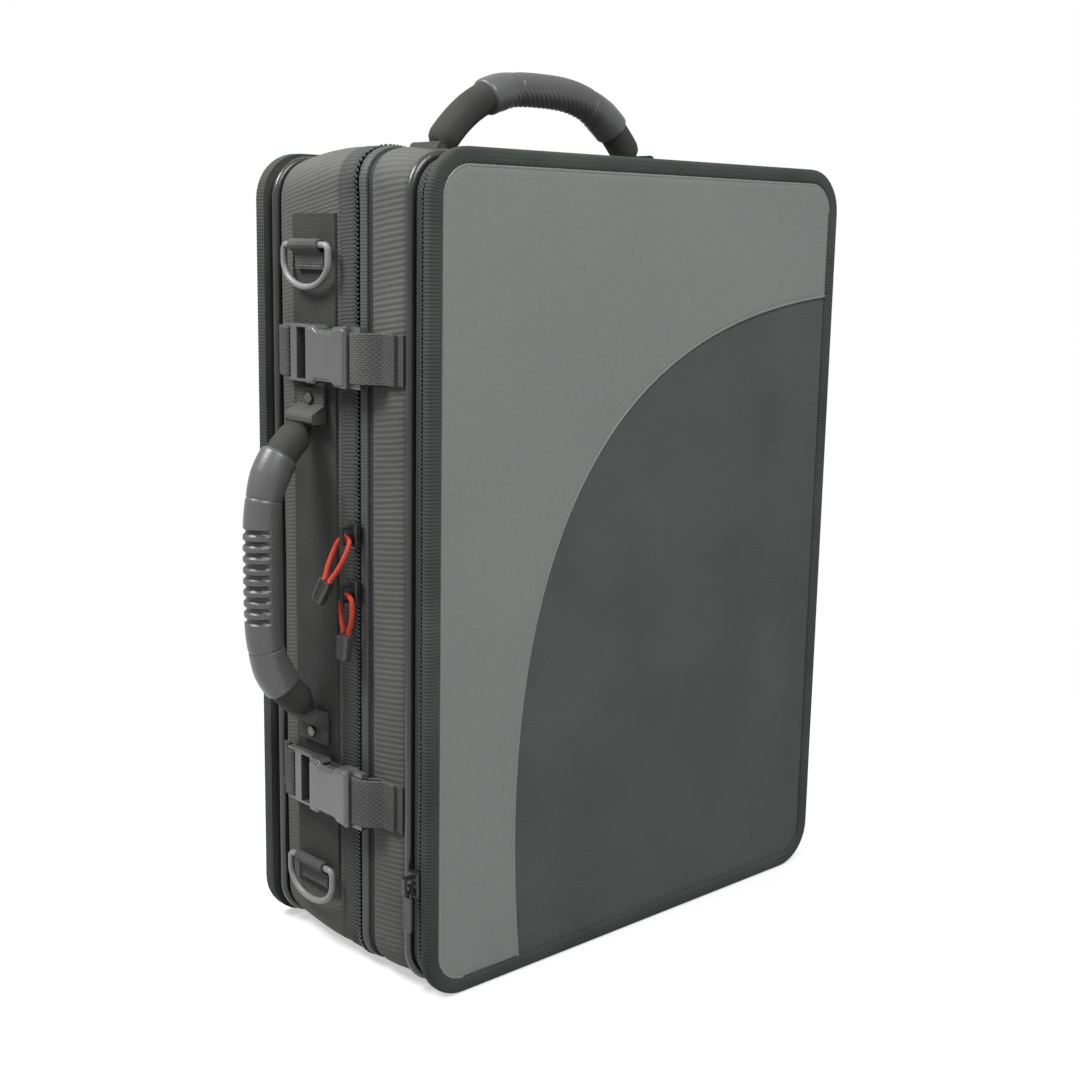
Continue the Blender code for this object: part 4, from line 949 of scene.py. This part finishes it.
for name, depth, body, node in (
    ("lid_edge_piping", 19.2, "lid", "lid_piping"),
    ("back_edge_piping", 131.0, "case", "back_piping"),
):
    cord_path = upright(outline(WALL + 0.1), depth)
    piping = rounded(name, cord_path, 2.4 * MM, closed=True, sides=4)
    wear(fattened(piping), vinyl.material, body, "piping", node)
print("walls and piping made")

# %% [markdown]
# Both zips run over the top, down the latch side and along the bottom, and stop on the hinge
# side, where strips of webbing take their place. A zip is two tapes and two rows of moulded teeth
# that mesh at the parting line, and on the main zip a welt lies over the lid's tape. The two hinge
# lines lie a little outside the wall, and a roll of cloth on each line closes the gap that would
# show between the strips when the lid or the flap is open.


# %% Zips and hinge strips
ZIP_RUN, HINGE_GAP, HINGE_PROUD = 12, 0.3, 1.2


def zip_path(inset):
    """Once round the case, from the hinge side over the top to the hinge side again."""
    x = CENTRE_X + WIDTH / 2 - inset * MM
    run = ZIP_RUN * MM
    middle = outline(inset)[: 1 - SIDE_STEPS]
    return [(x, HEIGHT - CORNER - run)] + middle + [(x, CORNER + run)]


def hinge_path(inset):
    """The stretch of the hinge side that the zips leave free."""
    x = CENTRE_X + WIDTH / 2 - inset * MM
    run = (ZIP_RUN + HINGE_GAP) * MM
    low, high = CORNER + run, HEIGHT - CORNER - run
    return straight((x, low), (x, high), 24)


TOOTH_PITCH, START_SHIFT = 2.2, 0.08


def tooth_unit(width):
    """One tooth: a small bar with rounded edges, lying across the tape."""
    fresh()
    bpy.ops.mesh.primitive_cube_add(size=1)
    unit = bpy.context.active_object
    unit.scale = (1.15 * MM, 1.5 * MM, width * MM)
    unit.location = (0.6 * MM, 0, 0)
    set_down(unit)
    return with_modifier(unit, "BEVEL", width=0.35 * MM, segments=2)


def teeth(name, depth, width, inset, shift, body):
    """A row of teeth round the case; one row starts half a tooth later, so that both mesh."""
    path = zip_path(inset)
    if shift:
        path = [tuple(Vector(path[0]).lerp(Vector(path[1]), START_SHIFT))] + path[1:]
    row = laid_along(name, tooth_unit(width), path, False, TOOTH_PITCH * MM)
    row.location.y = at_depth(depth)
    set_down(row)
    soften(fattened(row), 50)
    return wear(row, teeth_nylon.material, body, "zip_tape")


def strip(start, end, lift, thick=1.6):
    """The section of a tape: a flat band whose surface stands lift above the wall."""
    return [
        (-lift + 0.3, start), (-lift, start + 0.4), (-lift, end - 0.4), (-lift + 0.3, end),
        (-lift + thick, end), (-lift + thick, start),
    ]


teeth_nylon = grained("moulded zip teeth", (0.35, 0.5), 1200, 80, 1.0,
                      (34, 35, 36), (66, 67, 68), 0.00004)

for name, start, end, lift, cloth, body, node in (
    ("pocket_tape_front", 5.4, 9.5, -0.9, zip_cloth, "flap", "pocket_zip_front"),
    ("pocket_tape_rear", 11.5, 16.4, -0.9, zip_cloth, "lid", "pocket_zip_rear"),
    ("main_tape_lid", 50.2, 59.6, -1.3, zip_cloth, "lid", "main_zip_lid"),
    ("main_tape_back", 62.8, 74.8, 0.1, tape_cloth, "case", "main_zip_back"),
):
    tape = swept(name, zip_path(WALL), False, in_metres(strip(start, end, lift)))
    wear(fattened(tape), cloth.material, body, "zip_tape", node)
welt = swept("main_zip_welt", zip_path(WALL), False, in_metres(strip(53.4, 59.0, 0.2, 1.4)))
wear(fattened(welt), welt_cloth.material, "lid", "zip_tape")
for name, depth, width, shift, body in (
    ("pocket_teeth_front", 10.0, 1.3, False, "flap"),
    ("pocket_teeth_rear", 11.0, 1.3, True, "lid"),
    ("main_teeth_lid", 60.35, 1.4, False, "lid"),
    ("main_teeth_back", 61.65, 1.4, True, "case"),
):
    teeth(name, depth, width, WALL - 0.1, shift, body)
for name, start, end, lift, body, node in (
    ("pocket_hinge_front_strip", 5.4, 10.3, -0.6, "flap", "pocket_hinge_front"),
    ("pocket_hinge_rear_strip", 10.7, 16.4, -0.6, "lid", "pocket_hinge_rear"),
    ("main_hinge_lid_strip", 50.2, 60.8, -0.5, "lid", "hinge_strip_lid"),
    ("main_hinge_back_strip", 61.2, 74.8, -0.5, "case", "hinge_strip_back"),
):
    tape = swept(name, hinge_path(WALL), False, in_metres(strip(start, end, lift)))
    wear(tape, webbing.material, body, "webbing", node)
for name, depth, body in (
    ("main_hinge_roll", MAIN_PART, "case"),
    ("pocket_hinge_roll", POCKET_PART, "lid"),
):
    axis = upright(hinge_path(WALL - HINGE_PROUD), depth)
    wear(rounded(name, axis, 1.9 * MM, sides=5), band_cloth.material, body, "webbing")
print("zips made")

# %% [markdown]
# Straps, tabs and buckles sit on the latch side, one above the other on a flat band of webbing.
# A strap is swept like the walls, but its path lies across the side, so it is drawn where it
# belongs and only lifted. Real webbing never folds sharply, so every corner is eased first.


# %% Webbing on the latch side
def eased(points, radius, closed=False, steps=4):
    """The same line with each corner turned into a small curve, its radius in millimetres."""
    line = [Vector(point) for point in points]
    if closed:
        line = [line[-1]] + line + [line[0]]
    made = []
    for before, corner, after in zip(line, line[1:], line[2:]):
        back, on = before - corner, after - corner
        cut = min(radius * MM, back.length * 0.45, on.length * 0.45)
        start, end = corner + back.normalized() * cut, corner + on.normalized() * cut
        for step in range(steps + 1):
            t = step / steps
            made.append((1 - t) ** 2 * start + 2 * t * (1 - t) * corner + t * t * end)
    if not closed:
        made = [line[0]] + made + [line[-1]]
    return [tuple(point) for point in made]


def ribbon(width, thick):
    """The section of a woven strap: flat, with rounded edges a little thicker than its middle."""
    wide, edge = width / 2 * MM, thick * 0.3 * MM
    face, selvedge = thick / 2 * MM - 0.00006, thick / 2 * MM
    side = [(selvedge, edge * 6), (face, edge * 9), (face, width * MM - edge * 9),
            (selvedge, width * MM - edge * 6), (selvedge, width * MM - edge),
            (selvedge - edge, width * MM)]
    half = [(selvedge - edge, 0), (selvedge, edge)] + side
    points = half + [(-out, across) for out, across in half[::-1]]
    return [(out, across - wide) for out, across in points]


def fitted(width, thick):
    """A strap's section for a path that runs up or over the case, in line with the fittings."""
    return [(out, across + at_depth(FITTING_DEPTH)) for out, across in ribbon(width, thick)]


STRAP = (24.8, 1.3)


def side_strap(name, route, height, body, node):
    """A strap that runs from front to back along the latch side; its route is (depth, out)."""
    path = eased([(side_x(out), at_depth(deep)) for deep, out in route], 1.2)
    piece = swept(name, path, False, ribbon(*STRAP), standing=False)
    piece.location.z = height * MM
    return wear(set_down(piece), webbing.material, body, "webbing", node)


STRAP_LID = [(22.9, 0.95), (42, 0.95), (46, 5.25), (52.45, 5.25), (53.1, 6.55), (53.1, 9.45),
             (52.45, 10.75), (46, 10.75), (42, 8.15), (36.7, 2.55), (28, 2.55)]
STRAP_BACK = [(124, 0.95), (117, 0.95), (111.7, 5.25), (106.75, 5.25), (106.1, 6.55),
              (106.1, 9.45), (106.75, 10.75), (111.7, 10.75), (115.7, 8.15), (121, 2.55),
              (125.3, 2.55)]
BUCKLES = {"upper": 320, "lower": 95.5}
for level, height in BUCKLES.items():
    side_strap(f"strap_{level}_to_lid", STRAP_LID, height, "lid", f"lid_strap_{level}")
    side_strap(f"strap_{level}_to_back", STRAP_BACK, height, "case", f"latch_strap_{level}")

x = side_x(0.65)
band_path = straight((x, 389 * MM), (x, 31 * MM), 40)
band = swept("side_band_webbing", band_path, False, fitted(37, 1.3))
wear(band, band_cloth.material, "case", "webbing", "side_band")
print("straps", len(BUCKLES) * 2, "and the band", len(band.data.polygons))

# %% [markdown]
# The D-shaped rings take a shoulder strap. Each is a moulded ring whose straight bar lies in a
# folded tab. The tab's end is sewn down to the band, behind the ring.


# %% Rings and their tabs
def side_up(piece, out):
    """Turns a piece drawn flat so that its X becomes the depth and its Y the height."""
    pick(piece)
    piece.rotation_euler = (math.pi / 2, 0, math.pi / 2)
    piece.location.x = side_x(out)
    return set_down(piece)


SIDE_PITCH, SIDE_THREAD = 2.6, 0.55


def side_stitches(name, points, out, material, body):
    """A row of stitches on the latch side; its points are (depth, height)."""
    path = [(at_depth(deep), height * MM) for deep, height in points]
    unit = stitch_unit(SIDE_PITCH * SHOWN_THREAD, SIDE_THREAD)
    row = laid_along(name, unit, path, False, SIDE_PITCH * MM, standing=False)
    soften(side_up(row, out), 60)
    return wear(row, material, body, "webbing")


ring_plastic = grained("pale satin plastic", (0.34, 0.5), 1400, 60, 0.7,
                       (116, 116, 117), (146, 146, 146), 0.00003)

RINGS = {"upper": 373.5, "lower": 47.5}
RING_OUT = 5.9
for level, bar in RINGS.items():
    loop = 2.4
    turns = [(2 + 2.78 * step / 12) * math.pi / 2 for step in range(13)]
    route = [(2.05, -12), (2.05, -loop)]
    route += [(RING_OUT + loop * math.cos(turn), -loop * math.sin(turn)) for turn in turns]
    route += [(3.4, -loop * 2), (3.4, -12)]
    path = eased([(side_x(out), (bar + high) * MM) for out, high in route], 0.6, steps=3)
    tab = swept(f"tab_{level}_webbing", path, False, fitted(*STRAP))
    wear(tab, webbing.material, "case", "webbing", f"ring_tab_{level}")
    side_stitches(f"tab_{level}_stitches", [(86.5, bar - 10.6), (106.5, bar - 10.6)], 4.15,
                  pale_thread.material, "case")
    shape = [(-19.2, -1.7), (-17.5, 0), (17.5, 0), (19.2, -1.7)]
    for step in range(25):
        angle = -math.pi * step / 24
        shape.append((19.2 * math.cos(angle), 13 * math.sin(angle) - 8))
    path = [(side_x(RING_OUT), at_depth(FITTING_DEPTH + across), (bar + high) * MM)
            for across, high in shape]
    ring = rounded(f"ring_{level}_moulded", eased(path, 1.5, closed=True, steps=3), 1.7 * MM,
                   closed=True, sides=5)
    wear(ring, ring_plastic.material, f"ring_{level}", "plastic", f"ring_{level}")
print("rings", len(ring.data.polygons))

# %% [markdown]
# A side-release buckle has a hollow socket, and a plug with two sprung arms whose barbs show in the
# socket's windows. The measured solids already have these shapes, so they stay and get a moulded
# finish. What they lack is the socket's softly domed face with its pulled-in waist, which is
# raised from an outline and rounded by insets.

# %% Buckles
buckle_plastic = grained("moulded buckle plastic", (0.25, 0.8), 1300, 50, 0.7,
                         (72, 73, 73), (98, 99, 98), 0.00003)


def refinish(material, *nodes):
    """Gives measured solids that stay a better material."""
    for node in nodes:
        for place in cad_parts[node].material_slots:
            place.material = material


FACE = [(87.4, 13.6), (80.9, 13.6), (78.6, 11.6), (66.4, 11.6), (64.0, 13.6), (55.4, 14.3)]
for level, height in BUCKLES.items():
    refinish(buckle_plastic.material, f"buckle_socket_{level}", f"buckle_plug_{level}",
             f"buckle_arm_{level}_top", f"buckle_arm_{level}_bottom")
    corners = [(at_depth(deep), (height + half) * MM) for deep, half in FACE]
    corners += [(at_depth(deep), (height - half) * MM) for deep, half in FACE[::-1]]
    face = raised(f"buckle_{level}_face", eased(corners, 2.6, closed=True), -0.4,
                  [(0.4, 0.3), (0.5, 0.22), (0.5, 0.12)])
    soften(side_up(face, 12.4), 60)
    wear(face, buckle_plastic.material, "lid", "plastic")
print("buckle faces", len(face.data.polygons))

# %% [markdown]
# Each handle is a cord of webbing bowed between two sewn anchors, inside a moulded rubber grip. The
# side grip has nine short slots pressed into its outer half, and the top grip has fine winding
# ribs. Both start as a dense tube, and the relief is pressed in by moving its points. A value on
# each point remembers how deep it lies, and there the rubber's colour is turned nearly black as
# painted shade: fully deep in the slots, and more faintly between the ribs.

# %% Handle shapes
HALF_SPAN, END_OUT = 73, 8.2
SIDE_MIDDLE, TOP_MIDDLE = 208.5, 3
SIDE_BOW, TOP_BOW = (34.5, 4), (43, 2.8)
CORE_REACH, CORE_STEPS, CORE_RADIUS, HIDDEN_RADIUS = 76, 48, 8.6, 7.4


def handle_out(along, rise, power):
    """How far a handle stands out at a place along it: its bow has a rise and a power."""
    share = min(1, abs(along) / HALF_SPAN)
    return END_OUT + (rise - END_OUT) * (1 - share**power)


def on_side(along, out):
    return Vector((side_x(out), at_depth(FITTING_DEPTH), (SIDE_MIDDLE + along) * MM))


def on_top(along, out):
    return Vector((CENTRE_X + (TOP_MIDDLE + along) * MM, at_depth(FITTING_DEPTH), top_z(out)))


def core(name, place, bow, hidden, body, node):
    """The cord of webbing, a little slimmer where the grip hides it."""
    path, radii = [], []
    for step in range(CORE_STEPS + 1):
        along = CORE_REACH * math.sin(math.pi * (step / CORE_STEPS - 0.5))
        out = handle_out(along, *bow)
        path.append(tuple(place(along, out)))
        full = HIDDEN_RADIUS if abs(along - hidden[0]) < hidden[1] else CORE_RADIUS
        radii.append(min(full, 4.2 + out - END_OUT) * MM)
    piece = rounded(name, path, CORE_RADIUS * MM, radii, sides=8)
    return wear(piece, band_cloth.material, body, "webbing", node)


core("side_handle_webbing", on_side, SIDE_BOW, (0, 56), "side_handle", "side_handle_core")
core("top_handle_webbing", on_top, TOP_BOW, (9, 45), "top_handle", "top_handle_core")
grip_rubber = Finish("moulded grip rubber", 0.36, 0.6)
grain = grip_rubber.effect(GRAIN, "Object", Fine=1200, Broad=32)
grip_rubber.tones([(grain.outputs["Blotch"], 0.7)], (72, 73, 73), (98, 99, 98))
grip_rubber.bumps([(grain.outputs["Blotch"], 0.0005), (grain.outputs["Height"], 0.00005)])
# Painted shade: the rubber's colour turns nearly black where its points lie deep in the slots, and
# less between the ribs.
recess_shade = grip_rubber.tree.nodes.new("ShaderNodeAttribute")
recess_shade.attribute_name = "recess_shade"
grip_rubber.darkened(recess_shade.outputs["Fac"], (8, 8, 8))
print("handle cores made")

# %% [markdown]
# The relief is a rule that says, for a place along the grip and an angle round it, how deep the
# mould presses in. A slot is a capsule: a straight groove with round ends. The grip itself is a
# little thicker towards its ends, rounded at both edges, and has a fine fold inside each shoulder.
# All sizes are in millimetres, and a slot's reach and edge are its half length and its slope.


# %% The grips and their relief
SLOT_DEPTH, SLOT_PITCH, SLOT_REACH, SLOT_HALF, SLOT_EDGE = 1.3, 5.7, 13.2, 1.25, 0.9
RIB_DEPTH, RIB_PITCH, RIB_WIND, RIB_END, RIB_FADE = 0.42, 3.4, 7, 36, 4
OUTER_RADIUS, GRIP_RADIUS, TUBE_RADIUS, RING_SPACING = 9.6, 9.35, 10.4, 0.55
SHOULDER, SHOULDER_END, ROUNDING, FOLD, FOLD_PLACE = 0.8, 20, 1.2, 0.5, 21.5


def slots(along, angle):
    """Nine slots across the outer half, each with round ends."""
    reach = abs(angle) * OUTER_RADIUS
    nearest = max(-4, min(4, round(along / SLOT_PITCH)))
    gap = math.hypot(along - nearest * SLOT_PITCH, max(reach - SLOT_REACH, 0)) - SLOT_HALF
    return SLOT_DEPTH * min(max(0.5 - gap / SLOT_EDGE, 0), 1)


def winding_ribs(along, angle):
    """Fine ribs that wind round the grip, fading at its shoulders."""
    fade = min(max((RIB_END - abs(along)) / RIB_FADE, 0), 1)
    wave = math.sin(2 * math.pi * (along + angle * RIB_WIND) / RIB_PITCH)
    return fade * RIB_DEPTH * (0.5 + 0.5 * wave)


def grip(name, place, shape, relief, sides, body, node):
    """A dense tube along the handle's arc, with its relief pressed in."""
    rise, power, half, shift = shape
    path, radii = [], []
    count = int(half * 2 / RING_SPACING)
    for step in range(count + 1):
        along = shift - half + 2 * half * step / count
        edge = half - abs(along - shift)
        swell = SHOULDER * min(max((SHOULDER_END - edge) / 10, 0), 1)
        swell -= ROUNDING * max(0, 1 - edge / 1.5) ** 2
        fold = FOLD * max(0, 1 - abs(edge - FOLD_PLACE) / 0.9)
        path.append(tuple(place(along, handle_out(along, rise, power))))
        radii.append((GRIP_RADIUS + swell - fold) * MM)
    piece = rounded(name, path, TUBE_RADIUS * MM, radii, sides=sides)
    # Each point keeps how deep it lies as a share of the slot depth, and the rubber paints shade by
    # that share.
    depths = piece.data.attributes.new("recess_shade", "FLOAT", "POINT")
    lengthwise = (place(1, 0) - place(0, 0)).normalized()
    outward = (place(0, 1) - place(0, 0)).normalized()
    for vertex in piece.data.vertices:
        along = (vertex.co - place(0, 0)).dot(lengthwise) / MM
        middle = place(along, handle_out(along, rise, power))
        way = vertex.co - middle
        angle = math.atan2(way.y, way.dot(outward))
        depth = relief(along - shift, angle)
        vertex.co -= way.normalized() * depth * MM
        depths.data[vertex.index].value = depth / SLOT_DEPTH
    piece.data.update()
    return wear(soften(piece, 45), grip_rubber.material, body, "rubber", node)


side_grip = grip("side_grip", on_side, (*SIDE_BOW, 60, 0), slots, 14, "side_handle",
                 "side_handle_grip")
top_grip = grip("top_grip", on_top, (*TOP_BOW, 49, 9), winding_ribs, 26, "top_handle",
                "top_handle_grip")
print("grips", len(side_grip.data.polygons), len(top_grip.data.polygons))

# %% [markdown]
# Each end of a handle is held by webbing folded over it, stepping down to a flat patch that is sewn
# to the case. A block gives the fold its body, and a strap laid over the block shows the weave and
# the edge of the cloth. The side handle is also riveted.


# %% Anchors of the handles
def box_map(piece):
    """A UV map in metres, laid on each face from the side that it faces."""
    layers = piece.data.uv_layers
    layer = layers[0] if layers else layers.new(name="cloth")
    for face in piece.data.polygons:
        facing = max(range(3), key=lambda axis: abs(face.normal[axis]))
        first, second = [axis for axis in (2, 1, 0) if axis != facing]
        for corner in face.loop_indices:
            co = piece.data.vertices[piece.data.loops[corner].vertex_index].co
            layer.data[corner].uv = (co[first], co[second])
    return piece


def anchor(name, place, way, low, body, node):
    """The fold at one end of a handle: a block, and the strap over it."""
    steps = [(76.3, low), (76.3, 10.8), (80.3, 10.8), (84.3, 3.3), (93.3, 3.3), (93.3, low)]
    corners = [tuple(place(way * along, out).xz) for along, out in steps]
    if way * (1 if place is on_top else -1) < 0:
        corners = corners[::-1]
    line = drawn(corners, True)
    line.data.fill_mode = "BOTH"
    line.data.extrude = 11.7 * MM
    block = made_mesh(line, f"{name}_fold")
    open_up(block)
    bpy.ops.mesh.dissolve_limited(angle_limit=math.radians(1))
    bpy.ops.mesh.normals_make_consistent(inside=False)
    with_modifier(block, "BEVEL", width=0.6 * MM, segments=2, limit_method="ANGLE",
                  angle_limit=math.radians(30))
    block.location.y = at_depth(FITTING_DEPTH)
    stand_up(block)
    cloth = webbing if place is on_side else band_cloth
    wear(box_map(soften(block, 40)), cloth.material, body, "webbing", node)
    over = [(76.3, low + 1), (76.3, 11.1), (80.5, 11.1), (84.6, 3.6), (93.5, 3.6)]
    path = eased([tuple(place(way * along, out).xz) for along, out in over], 1.5)
    strap = swept(f"{name}_strap", path, False, fitted(24, 1.0))
    return wear(strap, cloth.material, body, "webbing")


for name, place, way, low in (
    ("side_handle_upper", on_side, 1, 1.9), ("side_handle_lower", on_side, -1, 1.9),
    ("top_handle_left", on_top, -1, 0.3), ("top_handle_right", on_top, 1, 0.3),
):
    anchor(name, place, way, low, "case", f"{name}_anchor")
for way in (-1, 1):
    for along in (86.2, 91.8):
        height = SIDE_MIDDLE + way * along
        side_stitches(f"anchor_stitches_{'upper' if way > 0 else 'lower'}_{int(along)}",
                      [(86.5, height), (106.5, height)], 4.15, thread.material, "case")
refinish(steel.material, "side_handle_upper_rivet", "side_handle_lower_rivet")
print("anchors made")

# %% [markdown]
# The zip sliders keep their measured shape under black enamel. Each of the two pulls is a loop of
# red cord through the slider's bail, with both tails moulded into a small rubber end. The loops are
# free cords, so their size and the way they hang are declared. The loop's shape is a list of places
# (across, down), as shares of its half width and of its drop.

# %% Zip pulls
PULLS = {"upper": (231, (8.5, 5.5, 22)), "lower": (201.5, (-0.5, 1.5, 20))}
LOOP = [(0, 0), (0.42, 0.005), (0.77, 0.06), (0.96, 0.2), (1, 0.45), (0.8, 0.75), (0.48, 0.92),
        (0.48, 1)]
LOOP_HALF, CORD = 4.9, 2.6
pull_rubber = grained("glossy pull rubber", (0.25, 0.6), 1400, 90, 0.7,
                      (44, 45, 45), (70, 71, 70), 0.00004)
refinish(enamel.material, "zip_slider_upper", "zip_slider_lower", "pocket_slider", "pocket_pull")
refinish(pull_rubber.material, "pull_end_upper", "pull_end_lower")
for level, (height, (out, aside, drop)) in PULLS.items():
    top = Vector((side_x(7.4), at_depth(MAIN_PART), (height - 1.05) * MM))
    lean = Vector((-out, aside, -drop)) * MM
    turn = Vector((0, 0, -1)).rotation_difference(lean).to_matrix()
    across = turn @ Vector((0, LOOP_HALF * MM, 0))
    half = [top + lean * down + across * wide for wide, down in LOOP]
    other = [top + lean * down - across * wide for wide, down in LOOP[1:]]
    route = [tuple(point) for point in half[::-1] + other]
    cord = rounded(f"pull_cord_{level}_braid", route, CORD / 2 * MM, sides=4)
    wear(cord, red_cord.material, f"pull_{level}", "red_cord", f"pull_cord_{level}")

# %% [markdown]
# Inside, foam blocks covered with black plush hold two taken-apart clarinets, and a pad lines the
# lid. Their measured solids have the right hollows but hard edges, so each is copied, merged and
# given the rounded edges that foam has under cloth. The lid's panel and the tray's tab are made the
# same way in their own cloth, and the two stiff boards keep their shape with a finish of their own.


# %% The soft inside
def cloth_over(name, node, edge, finish, body, slot_name):
    """A soft piece made from a copy of a plain solid, merged, with rounded edges."""
    piece = bpy.data.objects.new(name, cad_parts[node].data.copy())
    bpy.context.scene.collection.objects.link(piece)
    open_up(piece, doubles=0.000002)
    bpy.ops.mesh.dissolve_limited(angle_limit=math.radians(2))
    with_modifier(piece, "BEVEL", width=edge * MM, segments=3, limit_method="ANGLE",
                  angle_limit=math.radians(50), use_clamp_overlap=True)
    return wear(box_map(soften(piece, 40)), finish.material, body, slot_name, node)


for name, node, edge, body in (
    ("joints_block_plush", "joints_block", 1.2, "case"),
    ("bells_block_plush", "bells_block", 1.2, "case"),
    ("lid_pad_plush", "lid_pad", 1.5, "lid"),
    ("tray_lid_plush", "tray_lid", 0.6, "tray_lid"),
):
    piece = cloth_over(name, node, edge, plush, body, "plush")
cloth_over("lid_panel_nylon", "lid_panel", 0.3, nylon, "lid", "nylon")
cloth_over("tray_tab_webbing", "tray_tab", 0.3, webbing, "tray_lid", "webbing")
board = grained("stiffening board", (0.85, 0.2), 800, 20, 0.8,
                (58, 58, 58), (84, 84, 83), 0.00006)
refinish(board.material, "flap_board", "back_board")
print("inside made")
